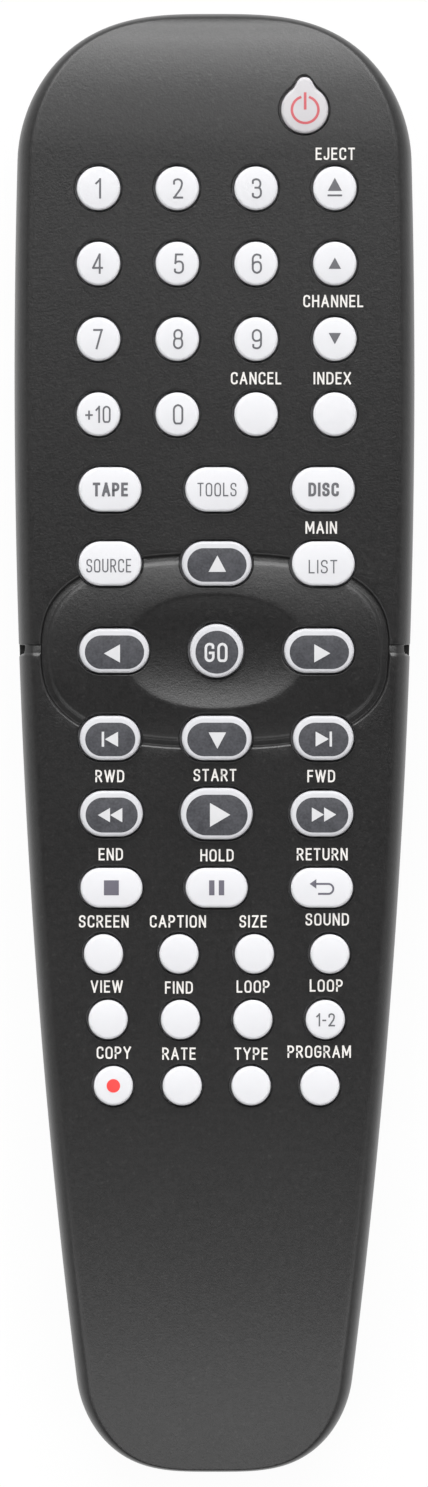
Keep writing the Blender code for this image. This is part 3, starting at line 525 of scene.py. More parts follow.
def roundedBox(name, low, high, radius, steps=5):
    # a box whose upright edges are rounded: a rounded rectangle carried from the low to the high level
    quarter = np.linspace(0, math.pi / 2, steps)
    turns = np.concatenate([corner * math.pi / 2 + quarter for corner in range(4)])
    signs = np.repeat([(1, 1), (-1, 1), (-1, -1), (1, -1)], steps, axis=0)
    half = (np.array(high[:2]) - np.array(low[:2])) / 2
    middle = (np.array(high[:2]) + np.array(low[:2])) / 2
    ring = middle + signs * (half - radius) + radius * np.stack([np.cos(turns), np.sin(turns)], 1)
    count = len(ring)
    points = np.vstack([np.column_stack([ring, np.full(count, level)]) for level in (low[2], high[2])])
    faces = gridFaces(2, count).tolist() + [tuple(range(count))[::-1], tuple(range(count, 2 * count))]
    return makeObject(name, points, faces, ["casing"])


print("casing")


def sideHalfWidth(y):
    # the half width, less a parabola away from the widest place
    away = y / casing["halfLength"] - casing["widestShare"]
    return casing["halfWidth"] * (1 - casing["taperShare"] * away * away)


def quarterFall(share):
    # how far a quarter circle of radius 1 has fallen at a share of its reach
    share = np.clip(share, 0, 1)
    return 1 - np.sqrt(1 - share * share)


def tailFall(y):
    # a parabola that starts where the tail's fall starts and falls the whole way at the tail's end
    away = np.maximum(0, casing["tailFallLength"] - casing["halfLength"] - y) / casing["tailFallLength"]
    return casing["tailFall"] * away * away


def faceHeight(y):
    # level, rounded down a quarter ellipse at the nose and along a parabola at the tail
    away = (y - casing["halfLength"] + casing["noseFallLength"]) / casing["noseFallLength"]
    return casing["face"] - casing["noseFall"] * quarterFall(away) - tailFall(y)


def ceilingHeight(y):
    # the face's form again for the inside, with a tighter quarter ellipse a wall behind the nose
    reach = casing["innerNoseFallLength"]
    away = (y - casing["halfLength"] + casing["wall"] + reach) / reach
    return casing["ceiling"] - casing["noseFall"] * quarterFall(away) - tailFall(y)


def bellyHeight(y):
    # level from the tail, then up along a parabola to the nose
    away = np.maximum(0, y - casing["halfLength"] + casing["bellyRiseLength"]) / casing["bellyRiseLength"]
    return casing["bellyRise"] * away * away


def evenTurns(corner, powers, halfWidth):
    # turns of a superellipse corner that lie evenly along its length, the last one left out
    turns = np.linspace(0, math.pi / 2, casing["endSamples"])
    x = halfWidth * np.sin(turns) ** (2 / powers[0])
    y = corner * np.cos(turns) ** (2 / powers[1])
    run = np.concatenate([[0], np.cumsum(np.hypot(np.diff(x), np.diff(y)))])
    return np.interp(np.linspace(0, run[-1], casing["endPoints"]), run, turns)[:-1]


noseStart = casing["halfLength"] - casing["noseCorner"]
tailStart = casing["tailCorner"] - casing["halfLength"]
noseTurns = evenTurns(casing["noseCorner"], casing["nosePowers"], sideHalfWidth(noseStart))
tailTurns = evenTurns(casing["tailCorner"], casing["tailPowers"], sideHalfWidth(tailStart))[::-1]
grooveLines = oval["centre"][1] + np.array(oval["sideOffsets"])
plainLines = np.linspace(noseStart, tailStart, casing["sidePoints"])
plainLines = plainLines[np.abs(plainLines[:, None] - grooveLines).min(1) > casing["sideLineGap"]]
sideLines = np.sort(np.concatenate([plainLines, grooveLines]))[::-1]


def endCurve(start, corner, powers, turns, inset):
    # one half of a rounded end, a superellipse drawn in by the inset; the corner is less than zero at the tail
    y = start + (corner - math.copysign(inset, corner)) * np.cos(turns) ** (2 / powers[1])
    return np.column_stack([(sideHalfWidth(y) - inset) * np.sin(turns) ** (2 / powers[0]), y])


def outline(inset):
    # the casing's outline seen from above, drawn in by the inset: counter-clockwise from the nose's tip
    nose = endCurve(noseStart, casing["noseCorner"], casing["nosePowers"], noseTurns, inset)
    side = np.column_stack([sideHalfWidth(sideLines) - inset, sideLines])
    tail = endCurve(tailStart, -casing["tailCorner"], casing["tailPowers"], tailTurns, inset)
    half = np.vstack([nose, side, tail])
    return np.vstack([half * (-1, 1), half[1:-1][::-1]])


ringCount = len(outline(0))


def insetOutline(inset):
    # the outline drawn in by an amount of its own at each point, along the way that an even inset takes
    full = casing["shoulderWidth"]
    return outline(0) + (outline(full) - outline(0)) * (np.asarray(inset) / full)[:, None]


def ringAt(inset, height):
    # one ring of casing points; inset and height are each a number or one for each point
    ring = outline(inset) if np.ndim(inset) == 0 else insetOutline(inset)
    return np.column_stack([ring, np.broadcast_to(height, ringCount)])


def shoulderSizes():
    # the shoulder's width and height at each ring point: full at the sides, less the more it faces an end
    run = np.roll(outline(0), -1, 0) - np.roll(outline(0), 1, 0)
    facing = -run[:, 0] / np.linalg.norm(run, axis=1)
    towards = np.column_stack([np.clip(facing, 0, 1), np.clip(-facing, 0, 1)]) ** casing["shoulderFade"]
    full = np.array([casing["shoulderWidth"], casing["shoulderHeight"]])
    less = full - np.array([casing["noseShoulder"], casing["tailShoulder"]])
    return full - towards @ less


def evenAngles(count):
    # angles all the way round, half a step off the axes
    return 2 * math.pi * (np.arange(count) + 0.5) / count


def stadium(size, grown, count):
    # a pill outline, a circle where both sizes are equal: an arc at each end of a straight run
    radius = size[1] / 2 + grown
    reach = (size[0] - size[1]) / 2
    turns = evenAngles(count)
    x = np.copysign(reach, np.cos(turns)) + radius * np.cos(turns)
    return np.column_stack([x, radius * np.sin(turns)])


def powerRadius(turns, grown):
    # the power key's outline in polar form: a circle with a smooth bump towards the nose
    away = (turns - math.pi / 2 + math.pi) % (2 * math.pi) - math.pi
    bump = keys["powerNub"] * np.exp(-((np.abs(away) / keys["powerNubSpread"]) ** keys["powerNubPower"]))
    return keys["power"][0] / 2 + grown + bump


def keyOutline(name, size, grown, count):
    # a key's outline seen from above, grown outwards: a pill, or the power key's own form
    if name != "power":
        return stadium(size, grown, count)
    turns = evenAngles(count)
    radius = powerRadius(turns, grown)
    return np.column_stack([radius * np.cos(turns), radius * np.sin(turns)])


def keyDistance(name, size, points):
    # how far points lie outside the key's outline, less than zero inside it
    if name == "power":
        turns = np.arctan2(points[:, 1], points[:, 0])
        return np.hypot(points[:, 0], points[:, 1]) - powerRadius(turns, 0)
    reach = (size[0] - size[1]) / 2
    return np.hypot(np.maximum(np.abs(points[:, 0]) - reach, 0), points[:, 1]) - size[1] / 2


def keyList():
    # (name, place, size) of each of the 47 keys
    places = np.array(keys["powerPlaceShares"]) * (casing["halfWidth"], casing["halfLength"])
    found = [("power", places, keys["power"])]
    for names, sizes, placeShare, pitchShare in keyRows:
        for column, (name, size) in enumerate(zip(names, sizes)):
            out = column - (len(names) - 1) / 2
            x = keys["fieldOffset"] + out * pitchShare * casing["halfWidth"]
            found.append((name, np.array([x, placeShare * casing["halfLength"]]), keys[size]))
    return found


allKeys = keyList()


def superRadius(points, half, power, shift=0.0):
    # a share of the way out to a superellipse: 1 on it
    inside = np.abs((points - oval["centre"] - (0, shift)) / half)
    return (inside[:, 0] ** power + inside[:, 1] ** power) ** (1 / power)


def superLine(half, power, count):
    # a superellipse round the oval's centre, its points an even way apart along it
    turns = 2 * math.pi * np.arange(count + 1) / count
    c, s = np.cos(turns), np.sin(turns)
    x = half[0] * np.sign(c) * np.abs(c) ** (2 / power)
    y = half[1] * np.sign(s) * np.abs(s) ** (2 / power)
    looped = np.column_stack([x, y])
    looped[-1] = looped[0]
    run = np.concatenate([[0], np.cumsum(np.linalg.norm(np.diff(looped, axis=0), axis=1))])
    even = np.linspace(0, run[-1], count, endpoint=False)
    return np.column_stack([np.interp(even, run, looped[:, axis]) for axis in (0, 1)]) + oval["centre"]


def offsetLine(line, away):
    # a closed line moved outwards along its own normals
    run = np.roll(line, -1, 0) - np.roll(line, 1, 0)
    normal = np.column_stack([run[:, 1], -run[:, 0]]) / np.linalg.norm(run, axis=1)[:, None]
    return line + normal * away


ovalDense = superLine(oval["half"], oval["power"], oval["samples"])
ovalLine = ovalDense[:: oval["samples"] // oval["points"]][: oval["points"]]


def nearest(points, line, slices=40):
    # the least distance from each point to a closed line's own points, worked out in slices
    return np.concatenate([
        np.sqrt(((part[:, None, :] - line[None]) ** 2).sum(-1)).min(1)
        for part in np.array_split(points, slices)
    ])


def sideGrooveDepth(points):
    # the groove from the oval out to each side, as deep as its place across it says
    depth = np.interp(points[:, 1] - oval["centre"][1], oval["sideOffsets"], oval["sideDepths"])
    away = np.abs(points[:, 0] - oval["centre"][0])
    return np.where(away > oval["half"][0] - oval["sideStart"], depth, 0)


def dishDrop(points):
    # the dish: 1 less a power of the way out, its corner at the edge softened by a hyperbola
    out = superRadius(points, oval["dishHalf"], oval["dishPower"], oval["dishShift"])
    within = 1 - out ** oval["dishCurve"]
    soft = oval["dishSoftness"]
    share = (within + np.sqrt(within * within + soft * soft)) / 2 - soft * soft / 2
    return oval["dishDepth"] * np.maximum(share, 0)


def relief(points):
    # what stands on or is sunk in the plain face: bulge, dish, grooves and the rounded rims of the key holes
    out = superRadius(points, np.array(oval["half"]) + oval["offsets"][0], oval["power"])
    away = nearest(points, ovalDense)
    outwards = np.where(superRadius(points, oval["half"], oval["power"]) < 1, -away, away)
    groove = np.maximum(np.interp(outwards, oval["offsets"], oval["depths"]), sideGrooveDepth(points))
    raised = oval["bulge"] * (1 - np.minimum(out, 1) ** oval["bulgePower"]) - groove - dishDrop(points)
    rim = keys["holeRound"]
    for name, place, size in allKeys:
        near = np.abs(points - place).max(1) < size[0] + keys["nearby"]
        edge = keyDistance(name, size, points[near] - place - keys["holeShift"]) - keys["holeGap"]
        share = np.clip(1 - edge / rim, 0, 1)
        raised[near] -= rim * (1 - np.sqrt(1 - np.minimum(share * share, keys["holeRoundEnd"])))
    return raised


# The face's loose points: nets as (low corner, high corner, step), the fine one inside the oval
faceNet = {
    "plain": (
        ((-27, -101), (27, -40), (1.9, 1.6)),
        ((-27, -40), (27, 80), (2.1, 2.1)),
        ((-27, 80), (27, 101), (1.5, 0.7)),
    ),
    "fine": ((-24, -1), (24.3, 27), (0.62, 0.62)),
    "fineWithin": 0.97,
    "plainBeyond": 1.06,
    "ringInsets": (0.15, 0.8),
    "edgeInset": 1.5,
    "leastGap": 0.22,
    "tolerance": 0.00001,
}


def netPoints(low, high, step):
    # a plain net of points between two corners
    x, y = np.meshgrid(np.arange(low[0], high[0], step[0]), np.arange(low[1], high[1], step[1]))
    return np.column_stack([x.ravel(), y.ravel()])


def ringHalfWidth(ring, y):
    # the half width of a ring at places along it, nothing beyond its ends
    side = ring[ring[:, 0] >= -faceNet["tolerance"]]
    side = side[np.argsort(side[:, 1])]
    return np.interp(y, side[:, 1], side[:, 0], left=0, right=0)


def faceLines(widths):
    # the lines that the face's triangles follow, as points and the links between them
    lines = [insetOutline(widths)]
    lines += [offsetLine(ovalLine, offset) for offset in oval["offsets"]]
    for share in oval["dishRings"]:
        line = superLine(np.array(oval["dishHalf"]) * share, oval["dishPower"], oval["dishPoints"])
        lines.append(line + (0, oval["dishShift"]))
    for name, place, size in allKeys:
        count = keys["roundHolePoints"] if size[0] == size[1] else keys["longHolePoints"]
        for away in keys["holeRings"]:
            grown = keys["holeGap"] + away * keys["holeRound"]
            lines.append(place + keys["holeShift"] + keyOutline(name, size, grown, count))
    links, total = [], 0
    for line in lines:
        links += [(total + i, total + (i + 1) % len(line)) for i in range(len(line))]
        total += len(line)
    # each side groove's lines start in the oval groove and end on the edge ring's own points
    for index, (x, y) in enumerate(lines[0]):
        if np.abs(grooveLines - y).min() < faceNet["tolerance"]:
            links.append((index, total))
            lines.append(np.array([[math.copysign(oval["half"][0] - oval["sideLineStart"], x), y]]))
            total += 1
    lines += [insetOutline(widths + extra) for extra in faceNet["ringInsets"]]
    return np.vstack(lines), links


def faceTriangles(widths):
    # the face seen from above: a net of triangles through its lines and loose points, open at the key holes
    lined, links = faceLines(widths)
    loose = np.vstack([netPoints(*area) for area in (*faceNet["plain"], faceNet["fine"])])
    isFine = np.arange(len(loose)) >= len(loose) - len(netPoints(*faceNet["fine"]))
    out = superRadius(loose, np.array(oval["half"]), oval["power"])
    loose = loose[np.where(isFine, out < faceNet["fineWithin"], out > faceNet["plainBeyond"])]
    limit = insetOutline(widths + faceNet["edgeInset"])
    loose = loose[np.abs(loose[:, 0]) < ringHalfWidth(limit, loose[:, 1])]
    loose = loose[nearest(loose, lined) > faceNet["leastGap"]]
    given = [Vector(point) for point in np.vstack([lined, loose])]
    points, _, triangles = geometry.delaunay_2d_cdt(given, links, [], 0, faceNet["tolerance"], False)[:3]
    flat = np.array([tuple(point) for point in points])
    triangles = np.array([triangle for triangle in triangles if len(triangle) == 3])
    corners = flat[triangles]
    turned = np.cross(corners[:, 1] - corners[:, 0], corners[:, 2] - corners[:, 0]) < 0
    triangles[turned] = triangles[turned][:, ::-1]
    middles = corners.mean(1)
    kept = np.abs(middles[:, 0]) < ringHalfWidth(lined[:ringCount], middles[:, 1])
    for name, place, size in allKeys:
        near = np.abs(middles - place).max(1) < size[0] + keys["nearby"]
        away = keyDistance(name, size, middles[near] - place - keys["holeShift"])
        kept[near] &= away > keys["holeGap"] - keys["holeMargin"]
    triangles = triangles[kept]
    used = np.unique(triangles)
    renumber = np.full(len(flat), -1)
    renumber[used] = np.arange(len(used))
    return flat[used], renumber[triangles]


def topOuterRows(widths, heights):
    # a rounded seam edge and the upright wall, then the quarter superellipse of the shoulder up to the face
    low, corner, edge = casing["parting"], casing["seamCorner"], casing["seamRound"]
    rows = [ringAt(edge, low), ringAt(corner, low + corner), ringAt(0, low + edge)]
    for row in rows:
        row[:, 0] -= np.sign(row[:, 0]) * sideGrooveDepth(row[:, :2]) * oval["notchShare"]
    power = 2 / casing["shoulderPower"]
    for step in range(casing["shoulderRows"]):
        turn = math.pi / 2 * step / casing["shoulderRows"]
        row = ringAt(widths * (1 - math.cos(turn) ** power), 0)
        row[:, 2] = faceHeight(row[:, 1]) - heights * (1 - math.sin(turn) ** power)
        deeper = oval["notchShare"] if step < casing["shoulderRows"] / 2 else 1
        depth = sideGrooveDepth(row[:, :2]) * deeper
        row[:, 0] -= np.sign(row[:, 0]) * depth * math.cos(turn)
        row[:, 2] -= depth * math.sin(turn)
        rows.append(row)
    return rows


def topInnerRows():
    # the rebate for the lower half's lip, then the inner wall up to the ceiling's corner
    rebate, wall, low = casing["rebateInset"], casing["wall"], casing["parting"]
    high = low + casing["lipHeight"] + casing["seamGap"]
    upper = ringAt(wall, 0)
    upper[:, 2] = ceilingHeight(upper[:, 1]) - casing["ceilingCorner"]
    return [ringAt(rebate, low), ringAt(rebate, high), ringAt(wall, high), upper]


def bridge(lower, upper):
    # quads between two rings of point numbers
    return np.column_stack([lower, np.roll(lower, -1), np.roll(upper, -1), upper])


def makeTopCover():
    # the face and its underside, a wall round each key hole, and the outer and inner rows down to the seam
    widths, heights = shoulderSizes().T
    flat, triangles = faceTriangles(widths)
    count = len(flat)
    raised = faceHeight(flat[:, 1]) + relief(flat)
    lowered = np.minimum(ceilingHeight(flat[:, 1]), raised - casing["leastThickness"])
    top, under = np.column_stack([flat, raised]), np.column_stack([flat, lowered])

    # open edges of the top: those round the holes get walls down to the underside
    edges = np.vstack([triangles[:, [0, 1]], triangles[:, [1, 2]], triangles[:, [2, 0]]])
    codes = edges.min(1) * count + edges.max(1)
    _, where, times = np.unique(codes, return_index=True, return_counts=True)
    openEdges = edges[where[times == 1]]
    rim = np.array([np.argmin(((flat - point) ** 2).sum(1)) for point in insetOutline(widths)])
    onRim = np.zeros(count, bool)
    onRim[rim] = True
    holeEdges = openEdges[~onRim[openEdges].all(1)]
    ahead, behind = holeEdges.T
    walls = np.column_stack([behind, ahead, ahead + count, behind + count])

    outerRows, innerRows = topOuterRows(widths, heights), topInnerRows()
    start = 2 * count
    innerStart = start + len(outerRows) * ringCount
    ring = np.arange(ringCount)
    lastRow, lastInner = innerStart - ringCount + ring, innerStart + (len(innerRows) - 1) * ringCount + ring
    blocks = [
        triangles, triangles[:, ::-1] + count, walls,
        gridFaces(len(outerRows), ringCount) + start, bridge(lastRow, rim),
        gridFaces(len(innerRows), ringCount)[:, ::-1] + innerStart, bridge(rim + count, lastInner),
        bridge(innerStart + ring, start + ring),
    ]
    faces = [face for block in blocks for face in block.tolist()]
    return makeObject("topCover", np.vstack([top, under, *outerRows, *innerRows]), faces, ["casing"])


topCover = makeTopCover()
print("top cover:", len(topCover.data.polygons), "faces")


def shellRows(inset, floorOf, rowCount):
    # rings of the lower casing: a quarter ellipse from the upright wall to the belly, then in to the middle
    rows = []
    width = casing["bellyEdge"] - inset
    for step in range(rowCount + 1):
        turn = math.pi / 2 * step / rowCount
        row = ringAt(inset + width * (1 - math.cos(turn)), 0)
        row[:, 2] = casing["skirtTop"] - (casing["skirtTop"] - floorOf(row[:, 1])) * math.sin(turn)
        rows.append(row)
    edge = rows[-1][:, :2]
    for share in casing["floorShares"]:
        ring = edge * (1 - share, 1 - casing["floorDraw"] * share)
        rows.append(np.column_stack([ring, floorOf(ring[:, 1])]))
    return rows


def lowerShell(name, withLip):
    # a thick lower casing: outer belly, seam edge, the lip that reaches into the upper half, and the inside
    wall, corner, seam = casing["wall"], casing["seamCorner"], casing["seamRound"]
    rim = casing["parting"] - casing["seamGap"]
    outer = shellRows(0, bellyHeight, casing["bellyRows"])[::-1]
    edge = [ringAt(0, rim - seam), ringAt(corner, rim - corner), ringAt(seam, rim)]
    if withLip:
        lip = rim + casing["lipHeight"] + casing["seamGap"]
        edge += [ringAt(casing["lipInset"], rim), ringAt(casing["lipInset"], lip), ringAt(wall, lip)]
    else:
        edge += [ringAt(wall, rim)]
    inner = shellRows(wall, lambda y: bellyHeight(y) + wall, casing["innerBellyRows"])
    rows = outer + edge + inner
    return sewn(makeObject(name, np.vstack(rows), gridFaces(len(rows), ringCount), ["casing"]))


# The bay's and the door's sizes in millimetres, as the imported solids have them
bay = {
    "half": 15.1, "wall": 1.2, "foot": 4.5, "roof": 17.1, "ends": (-70.325, -13.725), "shelf": 1.5,
    "ribHeight": 3.2, "ribWidth": 1.0, "ribSetback": 8, "ribSeat": 0.5, "round": 0.8, "roomRound": 0.5,
    "shelfSeat": 0.4, "shelfBevel": 0.15,
}
door = {
    "half": 16.3, "dovetail": 1.2, "front": -10.025, "gap": 0.3, "bayGap": 0.3, "tailHeight": 8.0,
    "tailRound": 0.4, "over": 3.0, "gripLines": 5, "gripPitch": 2.2, "gripWidth": 1.1, "gripHalf": 9.0,
    "gripSetback": 7.0, "gripDepth": 0.5, "gripTaperShare": 0.05, "gripBow": 0.9, "gripEndShare": 1.02,
    "gripSinkShare": 0.3, "gripPoints": 25, "gripSides": 10, "arrowSetback": 20.5, "arrowHalf": 3.0,
    "arrowShare": 1.3, "arrowDepth": 0.35, "arrowReach": 1.0,
}


def doorWedge(name, gap):
    # the dovetailed slice of the belly, and a taller box at the tail, joined
    near = door["half"] - gap
    far = near + door["dovetail"]
    low, high = casing["wall"], bay["foot"] - gap
    right = np.array([(near, -door["over"]), (far, low), (far, high)])
    section = np.vstack([right[:1] * (-1, 1), right, right[:0:-1] * (-1, 1)])
    count = len(section)
    ends = (-casing["halfLength"] - door["over"], door["front"] - gap)
    points = np.vstack([np.column_stack([section[:, 0], np.full(count, y), section[:, 1]]) for y in ends])
    caps = [tuple(range(count)), tuple(range(count, 2 * count))[::-1]]
    wedge = makeObject(name, points, gridFaces(2, count)[:, ::-1].tolist() + caps, ["casing"])
    tail = bay["ends"][0] - bay["wall"] - door["bayGap"] - gap
    top = door["tailHeight"] - gap
    block = roundedBox(name + "Tail", (-far, ends[0], low), (far, tail, top), door["tailRound"])
    cutWith(wedge, block, "UNION")
    return wedge


bottomCover = lowerShell("bottomCover", True)
cutWith(bottomCover, doorWedge("doorOpening", 0))
batteryDoor = lowerShell("batteryDoor", False)
cutWith(batteryDoor, doorWedge("doorSlice", door["gap"]), "INTERSECT")


def gripTool():
    # rounded bars across the door, bowed like a thumb, and a small arrow that shows which way it slides
    pile, faces = [], []
    rows, sides, depth, sink = door["gripPoints"], door["gripSides"], door["gripDepth"], door["gripSinkShare"]
    across = np.linspace(-1, 1, rows)[:, None]
    section = 2 * math.pi * np.arange(sides) / sides
    fade = np.sqrt(np.clip(door["gripEndShare"] - across ** 4, 0, 1))
    for line in range(door["gripLines"]):
        start = line * rows * sides
        half = door["gripHalf"] * (1 - door["gripTaperShare"] * abs(line - door["gripLines"] // 2))
        x = np.broadcast_to(across * half, (rows, sides))
        bow = door["front"] - door["gripSetback"] - line * door["gripPitch"] + door["gripBow"] * across ** 2
        y = bow + door["gripWidth"] / 2 * np.cos(section) * fade
        z = depth * ((1 + sink) * np.sin(section) * fade - sink)
        pile.append(np.stack([x, y, z], -1).reshape(-1, 3))
        faces += (gridFaces(rows, sides) + start).tolist()
        faces += [tuple(start + np.arange(sides)[::-1]), tuple(start + (rows - 1) * sides + np.arange(sides))]
    start = door["gripLines"] * rows * sides
    y, half = door["front"] - door["arrowSetback"], door["arrowHalf"]
    arrow = np.array([(-half, y), (half, y), (0, y - half * door["arrowShare"])])
    pile += [np.column_stack([arrow, np.full(3, z)]) for z in (-door["arrowReach"], door["arrowDepth"])]
    low, high = start + np.arange(3), start + 3 + np.arange(3)
    faces += [tuple(low), tuple(high[::-1])]
    faces += [(low[i], high[i], high[(i + 1) % 3], low[(i + 1) % 3]) for i in range(3)]
    return makeObject("doorGrips", np.vstack(pile), faces, ["casing"])


cutWith(batteryDoor, gripTool())

# The opening in the nose round the infrared window, in millimetres past the window's own box
opening = {"gap": 0.15, "inwards": 1.5, "outwards": 5, "round": 0.01}
windowLow, windowHigh = [np.array(corner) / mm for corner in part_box("ir_window")]
openingLow = windowLow - (opening["gap"], opening["inwards"], opening["gap"])
openingHigh = windowHigh + (opening["gap"], opening["outwards"], opening["gap"])
for cover in (topCover, bottomCover):
    cutWith(cover, roundedBox("windowOpening", openingLow, openingHigh, opening["round"]))


def addBox(pile, faces, low, high):
    # eight corners and six outward faces
    start = len(pile)
    around = ((low[0], low[1]), (high[0], low[1]), (high[0], high[1]), (low[0], high[1]))
    pile += [(x, y, z) for z in (low[2], high[2]) for x, y in around]
    sides = ((3, 2, 1, 0), (4, 5, 6, 7), (0, 1, 5, 4), (1, 2, 6, 5), (2, 3, 7, 6), (3, 0, 4, 7))
    faces += [tuple(start + i for i in side) for side in sides]


def makeBay():
    # the battery bay: an open box upside down, the shelf that carries it, and a low rib between the cells
    out, foot, roof = bay["half"] + bay["wall"], bay["foot"], bay["roof"]
    back, front = bay["ends"][0] - bay["wall"], bay["ends"][1] + bay["wall"]
    made = roundedBox("batteryBay", (-out, back, foot), (out, front, roof + bay["wall"]), bay["round"])
    roomLow, roomHigh = (-bay["half"], bay["ends"][0], 0), (bay["half"], bay["ends"][1], roof)
    cutWith(made, roundedBox("bayRoom", roomLow, roomHigh, bay["roomRound"]))
    pile, faces = [], []
    side = sideHalfWidth(np.array([back, front])).min() - casing["wall"]
    for sign in (-1, 1):
        low, high = sorted((sign * (out - bay["shelfSeat"]), sign * side))
        addBox(pile, faces, (low, back, foot), (high, front, foot + bay["shelf"]))
    half, setback = bay["ribWidth"] / 2, bay["ribSetback"]
    ribLow = (-half, bay["ends"][0] + setback, roof - bay["ribHeight"])
    addBox(pile, faces, ribLow, (half, bay["ends"][1] - setback, roof + bay["ribSeat"]))
    shelf = makeObject("bayShelf", pile, faces, ["casing"])
    finishWith(shelf, "BEVEL", width=bay["shelfBevel"] * mm, segments=2, limit_method="ANGLE")
    return made, shelf


batteryBay, bayShelf = makeBay()
for piece in (topCover, bottomCover, batteryBay, bayShelf):
    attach(piece, "housing")
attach(batteryDoor, "battery_door")
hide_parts("top_cover")
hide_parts("bottom_cover")
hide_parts("battery_door")

print("keys")


def keyTop(place):
    # how high a key's crown stands: the keys' height above the casing's face at its place
    return faceHeight(place[1]) + keys["proud"]


def columnProfile(top):
    # from the flange's foot up to the crown's edge, as (how far outside the key's outline, height)
    flange, low, high, edge = keys["flange"], keys["flangeLow"], keys["flangeTop"], keys["edge"]
    corner, foot, shoulder = keys["flangeRound"], keys["columnRound"], top - keys["crown"] - edge
    profile = [
        (flange - corner, low), (flange, low + corner), (flange, high - corner), (flange - corner, high),
        (foot, high), (0, high + foot), (0, shoulder),
    ]
    for step in range(1, keys["edgeSteps"] + 1):
        turn = math.pi / 2 * step / keys["edgeSteps"]
        profile.append((edge * (math.cos(turn) - 1), shoulder + edge * math.sin(turn)))
    return profile


def makeKey(name, place, size):
    # a flange, a column, a rounded edge and a crowned top; a dark key's face is slate inside a white rim
    count = keys["roundPoints"] if size[0] == size[1] else keys["longPoints"]
    top, radius, dark = keyTop(place), size[1] / 2, name in darkKeys
    rings = [
        np.column_stack([keyOutline(name, size, grown, count), np.full(count, height)])
        for grown, height in columnProfile(top)
    ]
    firstFace = len(rings)
    flatEdge = radius - keys["edge"]
    crown = [flatEdge * share - radius for share in keys["crownShares"]]
    if dark:
        crown[:len(keys["faceRings"])] = [-keys["faceInset"] - inner for inner in keys["faceRings"]]
    for order, grown in enumerate(crown):
        flat = keyOutline(name, size, grown, count)
        if dark:
            # the face's own shift, whole at its edge and gone some rings further in
            fade = 1 if order < keys["wholeShiftRings"] else max(0, 1 - order / keys["shiftRings"])
            flat = flat + np.array(keys["faceShift"]) * fade
        out = (radius + grown) / flatEdge
        rings.append(np.column_stack([flat, np.full(count, top - keys["crown"] * out * out)]))
    points = np.vstack(rings)
    points[:, :2] += place
    last = (len(rings) - 1) * count
    faces = gridFaces(len(rings), count).tolist()
    faces += [tuple(range(count))[::-1], tuple(range(last, last + count))]
    marks = np.zeros(len(faces), int)
    if dark:
        marks[firstFace * count : last] = 1
        marks[-1] = 1
    # the power key takes the white finish darkened as painted shade
    names = ["keyRim", "keySlate"] if dark else ["keyWhitePaintedShade" if name == "power" else "keyWhite"]
    made = makeObject("key_" + name + "_cap", points, faces, names, marks)
    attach(made, "key_" + name)
    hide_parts("key_" + name)


for name, place, size in allKeys:
    makeKey(name, place, size)

print("lettering and symbols")

